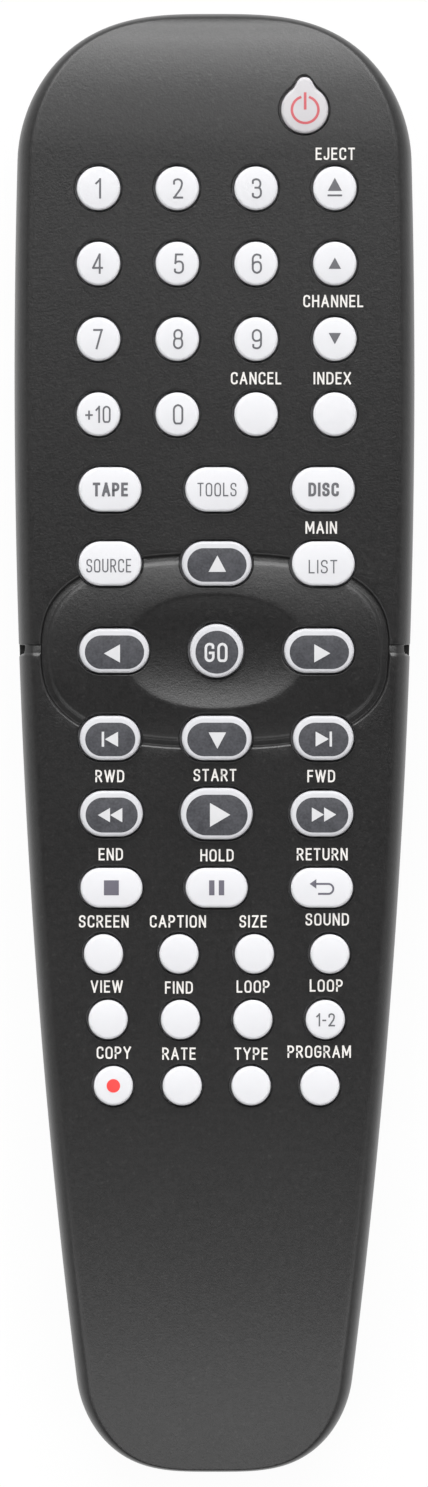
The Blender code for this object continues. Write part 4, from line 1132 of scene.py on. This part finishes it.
# Strokes of a plain condensed alphabet, one high: a third number rounds a corner by that much
glyphs = {
    "A": (0.56, [[(0, 0), (0.28, 1)], [(0.28, 1), (0.56, 0)], [(0.10, 0.32), (0.46, 0.32)]]),
    "C": (0.47, [[(0.47, 0.78), (0.47, 1, 0.23), (0, 1, 0.23), (0, 0, 0.23), (0.47, 0, 0.23), (0.47, 0.22)]]),
    "D": (0.50, [[(0, 0), (0, 1), (0.5, 1, 0.27), (0.5, 0, 0.27), (0, 0)]]),
    "E": (0.40, [[(0.40, 1), (0, 1), (0, 0), (0.40, 0)], [(0, 0.52), (0.36, 0.52)]]),
    "F": (0.38, [[(0.38, 1), (0, 1), (0, 0)], [(0, 0.50), (0.34, 0.50)]]),
    "G": (0.49, [[(0.47, 0.79), (0.47, 1, 0.23), (0, 1, 0.23), (0, 0, 0.23), (0.49, 0, 0.23),
                  (0.49, 0.47), (0.28, 0.47)]]),
    "H": (0.50, [[(0, 0), (0, 1)], [(0.50, 0), (0.50, 1)], [(0, 0.52), (0.50, 0.52)]]),
    "I": (0.0, [[(0, 0), (0, 1)]]),
    "J": (0.36, [[(0.36, 1), (0.36, 0, 0.18), (0, 0, 0.18), (0, 0.20)]]),
    "L": (0.38, [[(0, 1), (0, 0), (0.38, 0)]]),
    "M": (0.66, [[(0, 0), (0, 1)], [(0.04, 1), (0.33, 0.22)], [(0.33, 0.22), (0.62, 1)],
                 [(0.66, 1), (0.66, 0)]]),
    "N": (0.50, [[(0, 0), (0, 1)], [(0.03, 1), (0.47, 0)], [(0.50, 0), (0.50, 1)]]),
    "O": (0.51, [[(0.255, 0), (0, 0, 0.25), (0, 1, 0.25), (0.51, 1, 0.25), (0.51, 0, 0.25), (0.255, 0)]]),
    "P": (0.46, [[(0, 0), (0, 1), (0.46, 1, 0.24), (0.46, 0.45, 0.24), (0, 0.45)]]),
    "R": (0.48, [[(0, 0), (0, 1), (0.46, 1, 0.24), (0.46, 0.47, 0.24), (0, 0.47)], [(0.24, 0.47), (0.48, 0)]]),
    "S": (0.46, [[(0.44, 0.79), (0.44, 1, 0.22), (0, 1, 0.22), (0, 0.54, 0.20), (0.46, 0.48, 0.20),
                  (0.46, 0, 0.22), (0, 0, 0.22), (0, 0.21)]]),
    "T": (0.46, [[(0, 1), (0.46, 1)], [(0.23, 1), (0.23, 0)]]),
    "U": (0.50, [[(0, 1), (0, 0, 0.25), (0.50, 0, 0.25), (0.50, 1)]]),
    "V": (0.54, [[(0, 1), (0.27, 0)], [(0.27, 0), (0.54, 1)]]),
    "W": (0.84, [[(0, 1), (0.21, 0)], [(0.21, 0), (0.42, 1)], [(0.42, 1), (0.63, 0)], [(0.63, 0), (0.84, 1)]]),
    "X": (0.52, [[(0, 0), (0.52, 1)], [(0, 1), (0.52, 0)]]),
    "Y": (0.54, [[(0, 1), (0.27, 0.44)], [(0.54, 1), (0.27, 0.44)], [(0.27, 0.47), (0.27, 0)]]),
    "Z": (0.46, [[(0, 1), (0.46, 1)], [(0.45, 1), (0.01, 0)], [(0, 0), (0.46, 0)]]),
    "0": (0.48, [[(0.24, 0), (0, 0, 0.24), (0, 1, 0.24), (0.48, 1, 0.24), (0.48, 0, 0.24), (0.24, 0)]]),
    "1": (0.22, [[(0, 0.78), (0.21, 0.97)], [(0.22, 1), (0.22, 0)]]),
    "2": (0.46, [[(0, 0.76), (0, 1, 0.23), (0.45, 1, 0.23), (0.45, 0.58, 0.20), (0.01, 0)],
                 [(0, 0), (0.46, 0)]]),
    "3": (0.46, [[(0, 0.80), (0, 1, 0.22), (0.43, 1, 0.22), (0.43, 0.54, 0.20), (0.15, 0.54)],
                 [(0.15, 0.54), (0.46, 0.54, 0.22), (0.46, 0, 0.22), (0, 0, 0.22), (0, 0.20)]]),
    "4": (0.50, [[(0.37, 0), (0.37, 1)], [(0.36, 1), (0, 0.29)], [(0, 0.27), (0.50, 0.27)]]),
    "5": (0.46, [[(0.42, 1), (0.06, 1), (0.03, 0.56)],
                 [(0.03, 0.53), (0.10, 0.62, 0.10), (0.46, 0.62, 0.22), (0.46, 0, 0.22),
                  (0, 0, 0.22), (0, 0.18)]]),
    "6": (0.47, [[(0.44, 0.82), (0.44, 1, 0.22), (0, 1, 0.24), (0, 0, 0.24), (0.47, 0, 0.23),
                  (0.47, 0.60, 0.22), (0.10, 0.60, 0.20), (0, 0.45)]]),
    "7": (0.44, [[(0, 1), (0.44, 1)], [(0.43, 1), (0.14, 0)]]),
    "8": (0.47, [[(0.235, 0.53), (0.02, 0.53, 0.20), (0.02, 1, 0.21), (0.45, 1, 0.21),
                  (0.45, 0.53, 0.20), (0.235, 0.53)],
                 [(0.235, 0.53), (0, 0.53, 0.22), (0, 0, 0.23), (0.47, 0, 0.23),
                  (0.47, 0.53, 0.22), (0.235, 0.53)]]),
    "9": (0.47, [[(0.03, 0.18), (0.03, 0, 0.22), (0.47, 0, 0.24), (0.47, 1, 0.24), (0, 1, 0.23),
                  (0, 0.40, 0.22), (0.37, 0.40, 0.20), (0.47, 0.55)]]),
    "+": (0.44, [[(0, 0.45), (0.44, 0.45)], [(0.22, 0.21), (0.22, 0.69)]]),
    "-": (0.22, [[(0, 0.45), (0.22, 0.45)]]),
}
inkSizes = {
    "lift": 0.020, "liftStep": 0.0035, "liftSteps": 4, "sink": 0.06, "letterGap": 0.225, "strokeGap": 0.55,
    "step": 0.3, "leastStep": 0.00001, "bendPoints": 7, "bendTightness": 0.75, "leastMitre": 0.35,
    "patchShares": (1, 0.75, 0.5, 0.25), "patchEdgePoints": 4, "roundFrom": 8,
}


def roundedPath(corners):
    # corners that carry a third number become parabolas between the two places where they are cut
    parts = []
    flat = [np.array(c[:2], float) for c in corners]
    share = np.linspace(0, 1, inkSizes["bendPoints"])[:, None]
    for index, corner in enumerate(corners):
        middle = flat[index]
        if len(corner) < 3:
            parts.append(middle[None])
            continue
        ends = []
        for neighbour in (flat[index - 1], flat[index + 1]):
            away = neighbour - middle
            length = np.linalg.norm(away)
            ends.append(middle + away / length * min(corner[2], length / 2))
        start, end = ends
        tight = inkSizes["bendTightness"]
        pull = middle * tight + (start + end) / 2 * (1 - tight)
        parts.append((1 - share) ** 2 * start + 2 * share * (1 - share) * pull + share ** 2 * end)
    return np.vstack(parts)


def newInk():
    # an empty pile of strokes and patches: places, levels (0 underneath, 1 and up on top) and faces
    return {"points": [], "levels": [], "faces": [], "strokes": 0}


def evenPath(path):
    # a path with points at most a step apart, those that lie on one another left out
    path = np.asarray(path, float)
    lengths = np.linalg.norm(np.diff(path, axis=0), axis=1)
    apart = lengths > inkSizes["leastStep"]
    path = path[np.concatenate([[True], apart])]
    lengths = np.linalg.norm(np.diff(path, axis=0), axis=1)
    steps = np.maximum(1, np.ceil(lengths / inkSizes["step"])).astype(int)
    starts = np.concatenate([[0], np.cumsum(steps)])
    even = np.arange(starts[-1] + 1)
    return np.column_stack([np.interp(even, starts, path[:, axis]) for axis in (0, 1)])


def addRibbon(ink, path, width):
    # a flat stroke carried along a path, mitred at its corners, with square ends half a width past them;
    # each next stroke lies a little higher, so that no two tops that cross share a plane
    path = evenPath(path)
    closed = len(path) > 3 and np.linalg.norm(path[0] - path[-1]) < inkSizes["leastStep"]
    if closed:
        path = path[:-1]
    ahead = np.roll(path, -1, 0) - path
    if not closed:
        ahead[-1] = ahead[-2]
    ahead /= np.linalg.norm(ahead, axis=1)[:, None]
    behind = np.roll(ahead, 1, 0)
    if not closed:
        behind[0] = ahead[0]
        path[0] -= ahead[0] * width / 2
        path[-1] += ahead[-1] * width / 2
    normals = [np.column_stack([-d[:, 1], d[:, 0]]) for d in (ahead, behind)]
    mitre = normals[0] + normals[1]
    mitre /= np.maximum((mitre * normals[0]).sum(1), inkSizes["leastMitre"])[:, None]
    sides = np.vstack([path + mitre * width / 2, path - mitre * width / 2])
    count = len(path)
    start = sum(len(p) for p in ink["points"])
    ink["points"] += [sides, sides]
    ink["levels"] += [np.full(2 * count, 1 + ink["strokes"] % inkSizes["liftSteps"]), np.zeros(2 * count)]
    ink["strokes"] += 1
    left, right, lowLeft, lowRight = (start + side * count + np.arange(count) for side in range(4))
    here = np.arange(count if closed else count - 1)
    there = (here + 1) % count
    blocks = [
        (right[here], right[there], left[there], left[here]),
        (lowLeft[here], lowLeft[there], lowRight[there], lowRight[here]),
        (left[here], left[there], lowLeft[there], lowLeft[here]),
        (right[there], right[here], lowRight[here], lowRight[there]),
    ]
    ink["faces"] += np.vstack([np.column_stack(block) for block in blocks]).tolist()
    if not closed:
        ink["faces"] += [
            (left[0], lowLeft[0], lowRight[0], right[0]), (right[-1], lowRight[-1], lowLeft[-1], left[-1]),
        ]


def addPatch(ink, corners):
    # a filled convex shape, counter-clockwise: rings that close in on its middle, over a flat underside;
    # straight sides, which only a shape of few corners has, get points of their own
    border = np.asarray(corners, float)
    if len(border) < inkSizes["roundFrom"]:
        edge = (np.arange(inkSizes["patchEdgePoints"]) / inkSizes["patchEdgePoints"])[:, None]
        border = np.vstack([a + (b - a) * edge for a, b in zip(border, np.roll(border, -1, 0))])
    middle = border.mean(0)
    count, rings = len(border), len(inkSizes["patchShares"])
    start = sum(len(p) for p in ink["points"])
    ink["points"] += [border] + [middle + (border - middle) * share for share in inkSizes["patchShares"]]
    ink["points"].append(middle[None])
    ink["levels"] += [np.zeros(count), np.ones(rings * count + 1)]
    last = start + rings * count
    ink["faces"] += (gridFaces(rings + 1, count) + start).tolist()
    ink["faces"] += [tuple(start + np.arange(count)[::-1])]
    ink["faces"] += [(last + i, last + (i + 1) % count, last + count) for i in range(count)]


def addWord(ink, word, place, height, stroke, condensed):
    # a word centred on a place: each glyph's strokes scaled so that their outer edges are the height apart
    tall = height - stroke
    wide = tall * condensed
    gap = inkSizes["letterGap"] * height * condensed + stroke * inkSizes["strokeGap"]
    widths = [glyphs[letter][0] * wide for letter in word]
    x = place[0] - (sum(widths) + gap * (len(word) - 1)) / 2
    low = place[1] - tall / 2
    for letter, width in zip(word, widths):
        for corners in glyphs[letter][1]:
            scaled = [(x + c[0] * wide, low + c[1] * tall, *(size * wide for size in c[2:])) for c in corners]
            addRibbon(ink, roundedPath(scaled), stroke)
        x += width + gap


def makeInk(name, ink, surface, materialName, body):
    # lettering as thin plates: their tops lie just over the surface and their undersides just in it
    flat, level = np.vstack(ink["points"]), np.concatenate(ink["levels"])
    lift = inkSizes["lift"] + inkSizes["liftStep"] * (level - 1)
    height = surface(flat) + np.where(level > 0, lift, -inkSizes["sink"])
    made = makeObject(name, np.column_stack([flat, height]), ink["faces"], [materialName])
    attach(made, body)


# The picture's pixels: the one over the part's origin, and a pixel's size in millimetres
picture = {"originPixel": (214.5, 743), "pixel": 0.1405}


def photoPlace(x, y):
    # a place in the picture, in its pixels, as millimetres on the part
    originX, originY = picture["originPixel"]
    return np.array([(x - originX) * picture["pixel"], (originY - y) * picture["pixel"]])


# Words on the casing, each at the middle of its place in the picture
captions = (
    ("EJECT", 335, 155), ("CHANNEL", 333, 302), ("CANCEL", 256, 379), ("INDEX", 332, 379), ("MAIN", 321, 528),
    ("RWD", 110, 776), ("START", 215, 775), ("FWD", 321, 776), ("END", 111, 854), ("HOLD", 217, 855),
    ("RETURN", 322, 854), ("SCREEN", 104, 921), ("CAPTION", 178, 921), ("SIZE", 253, 921), ("SOUND", 327, 919),
    ("VIEW", 107, 986), ("FIND", 179, 987), ("LOOP", 253, 986), ("LOOP", 326, 985), ("COPY", 114, 1052),
    ("RATE", 179, 1053), ("TYPE", 251, 1053), ("PROGRAM", 319, 1051),
)
captionStyle = {"height": 1.72, "stroke": 0.235, "condensed": 1.02}
captionInk = newInk()
for word, x, y in captions:
    addWord(captionInk, word, photoPlace(x, y), **captionStyle)
makeInk("faceLettering", captionInk, lambda p: faceHeight(p[:, 1]), "captionInk", "housing")

# What each key says: text, height, stroke and condensing
keyWords = {
    "plus_10": ("+10", 2.40, 0.25, 0.86),
    "tape": ("TAPE", 1.95, 0.38, 0.92),
    "disc": ("DISC", 1.95, 0.38, 0.92),
    "tools": ("TOOLS", 1.90, 0.19, 0.86),
    "source": ("SOURCE", 1.90, 0.19, 0.80),
    "list": ("LIST", 1.90, 0.19, 1.0),
    "go": ("GO", 2.70, 0.36, 0.90),
    "loop_part": ("1-2", 1.85, 0.22, 0.95),
}
keyWords.update({str(digit): (str(digit), 2.85, 0.28, 0.96) for digit in range(10)})
wordShift, digitShift = (0.05, -0.02), (0.12, -0.02)


def triangle(middle, across, along, turn):
    # an arrowhead that points up, turned by quarter turns counter-clockwise
    corners = np.array([(-across / 2, -along / 2), (across / 2, -along / 2), (0, along / 2)])
    c, s = math.cos(turn * math.pi / 2), math.sin(turn * math.pi / 2)
    return corners @ np.array([(c, s), (-s, c)]) + middle


def rectangle(middle, across, along):
    # a plain block round its middle, counter-clockwise
    return np.array([(-1, -1), (1, -1), (1, 1), (-1, 1)]) * (across / 2, along / 2) + middle


def arcLine(middle, radius, start, end, count=48):
    # points along an arc, from one angle to the other in degrees
    turns = np.radians(np.linspace(start, end, count))
    return np.column_stack([np.cos(turns), np.sin(turns)]) * radius + middle


# The sign on each key: its ink, then lines round the key's middle with their stroke's width, 0 where filled
returnArc = arcLine((0.9, -0.15), 0.70, 90, -90, 14)
returnHook = np.vstack([[(-1.0, 0.55), (0.9, 0.55)], returnArc, [(-0.4, -0.85)]])
signs = {
    "power": ("redInk", [(arcLine((0.06, 0.0), 1.86, 112, 428), 0.36), ([(0.06, 0.2), (0.06, 2.25)], 0.38)]),
    "eject": ("legendInk", [(triangle((0, 0.55), 2.0, 1.85, 0), 0), (rectangle((0, -1.0), 2.05, 0.26), 0)]),
    "channel_up": ("legendInk", [(triangle((0, 0.05), 1.75, 1.6, 0), 0)]),
    "channel_down": ("legendInk", [(triangle((0, 0.05), 1.75, 1.6, 2), 0)]),
    "cursor_up": ("paleInk", [(triangle((0.1, 0), 2.45, 2.3, 0), 0)]),
    "cursor_down": ("paleInk", [(triangle((0.1, 0), 2.45, 2.3, 2), 0)]),
    "cursor_left": ("paleInk", [(triangle((0, 0), 2.55, 2.25, 1), 0)]),
    "cursor_right": ("paleInk", [(triangle((0, 0), 2.55, 2.25, 3), 0)]),
    "previous": ("paleInk", [(triangle((0.15, 0), 2.1, 1.85, 1), 0), (rectangle((-1.05, 0), 0.34, 2.1), 0)]),
    "next": ("paleInk", [(triangle((-0.15, 0), 2.1, 1.85, 3), 0), (rectangle((1.05, 0), 0.34, 2.1), 0)]),
    "reverse": ("paleInk", [(triangle((x, 0), 2.0, 1.7, 1), 0) for x in (-0.86, 0.86)]),
    "forward": ("paleInk", [(triangle((x, 0), 2.0, 1.7, 3), 0) for x in (-0.86, 0.86)]),
    "start": ("paleInk", [(triangle((0.15, 0), 3.35, 2.85, 3), 0)]),
    "end": ("signInk", [(rectangle((0, 0), 2.1, 2.1), 0)]),
    "hold": ("signInk", [(rectangle((x, 0), 0.76, 2.1), 0) for x in (-0.68, 0.68)]),
    "return": ("signInk", [(returnHook, 0.28), (triangle((-1.25, 0.55), 1.35, 0.95, 1), 0)]),
    "copy": ("dotInk", [(arcLine((0, 0), 0.95, 0, 350, 36), 0)]),
}

# How far a sign lies off the middle of its key, in millimetres
signShifts = {
    "cursor_left": (-0.31, -0.38), "cursor_right": (0.45, -0.36), "cursor_up": (0.0, -0.02),
    "cursor_down": (0.0, -0.36), "go": (-0.13, -0.21), "previous": (0.06, -0.17), "next": (0.0, -0.14),
    "source": (-0.22, -0.28), "list": (-0.10, -0.42), "reverse": (-0.18, -0.20), "start": (0.34, -0.17),
    "forward": (0.30, -0.13), "1": (-0.16, 0.0), "4": (-0.24, 0.0), "5": (0.12, 0.0), "7": (-0.18, 0.0),
    "plus_10": (-0.12, 0.0),
}


def makeSign(name, place, size):
    # a key's word or drawn sign, laid on its crown
    ink = newInk()
    if name in keyWords:
        text, *style = keyWords[name]
        addWord(ink, text, digitShift if name.isdigit() else wordShift, *style)
        inkName = "paleInk" if name in darkKeys else "legendInk"
    else:
        inkName, lines = signs[name]
        for line, stroke in lines:
            if stroke:
                addRibbon(ink, line, stroke)
            else:
                addPatch(ink, line)

    def crownSurface(points):
        # the crown's parabola, level round its middle and past the key's own edge
        away = keyDistance(name, size, points - place) + size[1] / 2
        out = np.clip(away / (size[1] / 2 - keys["edge"]), keys["crownShares"][-1], keys["crownReach"])
        return keyTop(place) - keys["crown"] * out ** 2

    ink["points"] = [points + place + signShifts.get(name, (0, 0)) for points in ink["points"]]
    makeInk("key_" + name + "_sign", ink, crownSurface, inkName, "key_" + name)


for name, place, size in allKeys:
    if name in keyWords or name in signs:
        makeSign(name, place, size)

print("cells, contacts and board")

# A cell's profile in millimetres: (radius, way from the flat end), then (radius, way from the nub's tip)
cell = {
    "flatEnd": (
        (0.02, 0), (5.6, 0), (6.1, 0.12), (6.5, 0.5), (6.9, 0.5), (7.2, 0.8), (7.25, 1.2), (7.25, 9.0),
        (7.25, 9.02),
    ),
    "nubEnd": (
        (7.25, 3.2), (7.25, 2.6), (7.0, 2.1), (6.2, 1.9), (5.9, 1.4), (3.2, 1.25), (2.75, 1.1), (2.72, 0.3),
        (2.4, 0), (0.02, 0),
    ),
    "bareRows": (1, 1, 1, 0, 0, 0, 0, 1, 0, 0, 0, 1, 1, 1, 1, 1, 1, 1),
    "sides": 48,
}


def makeCell(node):
    # a turned profile along the cell's own axis, its jacket and its bare ends marked apart
    low, high = [np.array(corner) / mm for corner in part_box(node)]
    middle = (low + high) / 2
    length, radius = high[1] - low[1], (high[0] - low[0]) / 2
    flatEnd, nubEnd = np.array(cell["flatEnd"]), np.array(cell["nubEnd"])
    r = np.minimum(np.concatenate([flatEnd[:, 0], nubEnd[:, 0]]), radius)
    along = np.concatenate([flatEnd[:, 1], length - nubEnd[:, 1]])
    count = cell["sides"]
    turns = 2 * math.pi * np.arange(count) / count
    start, towards = (low[1], 1) if node == "battery_left" else (high[1], -1)
    x = middle[0] + r[:, None] * np.cos(turns)
    z = middle[2] + r[:, None] * np.sin(turns)
    y = np.broadcast_to(start + towards * along[:, None], x.shape)
    points = np.stack([x, y, z], -1).reshape(-1, 3)
    last = (len(r) - 1) * count
    faces = gridFaces(len(r), count).tolist() + [tuple(range(count))[::-1], tuple(range(last, last + count))]
    if towards > 0:
        faces = [face[::-1] for face in faces]
    marks = np.concatenate([np.repeat(cell["bareRows"], count), [1, 1]])
    made = makeObject(node + "_shell", points, faces, ["cellJacket", "nickel"], marks)
    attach(made, "housing")
    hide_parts(node)


for cellNode in ("battery_left", "battery_right"):
    makeCell(cellNode)


def smoothCopy(node, materialName):
    # the node's own form, sewn up and shaded smooth, as a piece of its own
    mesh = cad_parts[node].data.copy()
    made = bpy.data.objects.new(node + "_piece", mesh)
    bpy.context.scene.collection.objects.link(made)
    mesh.materials.clear()
    mesh.materials.append(materials[materialName])
    sewn(made)
    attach(made, "housing")
    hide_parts(node)


for nodeName, materialName, slotName in (
    ("ir_window", "smokedLens", "window"), ("ir_led", "smokedLens", "window"),
    ("circuit_board", "boardLaminate", "board"), ("keypad_mat", "matRubber", "mat"),
    ("controller_chip", "chipEpoxy", "chip"), ("contact_bridge", "nickel", "contact"),
    ("contact_spring", "nickel", "contact"), ("contact_plate", "nickel", "contact"),
):
    smoothCopy(nodeName, materialName)

print("floor, lamps and camera")

# The studio in metres; the tent's tones are (share of the way straight up, brightness)
studio = {
    "floorHalf": 1.6,
    "floorLevel": -0.00002,
    "floorColour": (0.86, 0.86, 0.86),
    "floorRoughness": 0.9,
    "floorSpecular": 0.1,
    "glowShare": 0.94,
    "tentTones": ((0.28, 1.0), (0.43, 0.93), (0.57, 0.66), (0.71, 0.40), (0.83, 0.17), (0.94, 0.06)),
    "tailRamp": -1.5,
    "tailDimming": -0.55,
    "frameHeight": 0.2089,
    "frameMiddle": (-0.00007, -0.00007),
    "frameLevel": 0.0200,
    "lens": 455.0,
    "sensor": 36.0,
    "farthest": 20.0,
}


def makeFloor():
    # a plain pale sheet; the camera and reflections see it nearly white, and its shadows stay
    half, level = studio["floorHalf"] / mm, studio["floorLevel"] / mm
    corners = [(-half, -half, level), (half, -half, level), (half, half, level), (-half, half, level)]
    floor = makeObject("floor", corners, [(0, 1, 2, 3)], [])
    paper = bpy.data.materials.new("floorPaper")
    paper.use_nodes = True
    tree = paper.node_tree
    shader = tree.nodes["Principled BSDF"]
    shader.inputs["Base Color"].default_value = (*studio["floorColour"], 1)
    shader.inputs["Roughness"].default_value = studio["floorRoughness"]
    shader.inputs["Specular IOR Level"].default_value = studio["floorSpecular"]
    glow = node(tree, "ShaderNodeEmission", None, Color=(1, 1, 1, 1), Strength=1.0)
    path = node(tree, "ShaderNodeLightPath")
    seen = mathNode(tree, "MAXIMUM", path.outputs["Is Camera Ray"], path.outputs["Is Glossy Ray"])
    seen = mathNode(tree, "MAXIMUM", seen, path.outputs["Is Transmission Ray"])
    share = mathNode(tree, "MULTIPLY", seen, studio["glowShare"])
    mix = node(tree, "ShaderNodeMixShader", None, i0=share)
    tree.links.new(shader.outputs[0], mix.inputs[1])
    tree.links.new(glow.outputs[0], mix.inputs[2])
    tree.links.new(mix.outputs[0], tree.nodes["Material Output"].inputs["Surface"])
    floor.data.materials.append(paper)


makeFloor()


def makeTent():
    # white at the horizon, dark straight above round the lens of a copy stand, and dimmer past the tail
    world = bpy.data.worlds.new("tent")
    bpy.context.scene.world = world
    world.use_nodes = True
    tree = world.node_tree
    background = tree.nodes["Background"]
    direction = node(tree, "ShaderNodeTexCoord").outputs["Generated"]
    parts = node(tree, "ShaderNodeSeparateXYZ", None, Vector=direction)
    ramp = node(tree, "ShaderNodeValToRGB", None, Fac=parts.outputs["Z"])
    stops = ramp.color_ramp.elements
    for index, (place, tone) in enumerate(studio["tentTones"]):
        stop = stops[index] if index < 2 else stops.new(place)
        stop.position = place
        stop.color = (tone, tone, tone, 1)
    behind = mathNode(tree, "MULTIPLY", parts.outputs["Y"], studio["tailRamp"], clamp=True)
    dimmed = mathNode(tree, "MULTIPLY_ADD", behind, studio["tailDimming"], 1.0)
    tree.links.new(ramp.outputs[0], background.inputs["Color"])
    tree.links.new(dimmed, background.inputs["Strength"])


makeTent()

lamps = (
    # name, place, point looked at, size across and along in metres, radiance
    ("nosePanel", (0.0, 0.1375, 0.40), (0.0, 0.1375, 0.0), (0.68, 0.045), 3.9),
    ("tailPanel", (0.0, -0.1970, 0.22), (0.0, -0.1970, 0.0), (0.56, 0.088), 2.4),
    ("tailNear", (0.0, -0.1065, 0.22), (0.0, -0.1065, 0.0), (0.56, 0.093), 0.62),
    ("farHigh", (0.0, 0.60, 1.039), (0.0, 0.0, 0.0), (1.10, 0.168), 7.0),
    ("farMiddle", (0.0, 0.85, 0.848), (0.0, 0.0, 0.0), (1.10, 0.21), 9.2),
    ("farLow", (0.0, 1.08, 0.526), (0.0, 0.0, 0.0), (1.10, 0.33), 6.6),
)
for lampName, place, target, size, radiance in lamps:
    data = bpy.data.lights.new(lampName, "AREA")
    data.shape = "RECTANGLE"
    data.size, data.size_y = size
    data.energy = radiance * math.pi * size[0] * size[1]
    lamp = bpy.data.objects.new(lampName, data)
    bpy.context.scene.collection.objects.link(lamp)
    lamp.location = place
    lamp.rotation_euler = (Vector(target) - Vector(place)).to_track_quat("-Z", "Y").to_euler()
    lamp.visible_camera = False

cameraData = bpy.data.cameras.new("photoCamera")
cameraData.lens = studio["lens"]
cameraData.sensor_width = studio["sensor"]
camera = bpy.data.objects.new("photoCamera", cameraData)
bpy.context.scene.collection.objects.link(camera)
distance = studio["lens"] * studio["frameHeight"] / studio["sensor"]
camera.location = (*studio["frameMiddle"], distance + studio["frameLevel"])
cameraData.clip_end = studio["farthest"]
bpy.context.scene.camera = camera
bpy.context.scene.view_settings.view_transform = "Standard"

print("done")
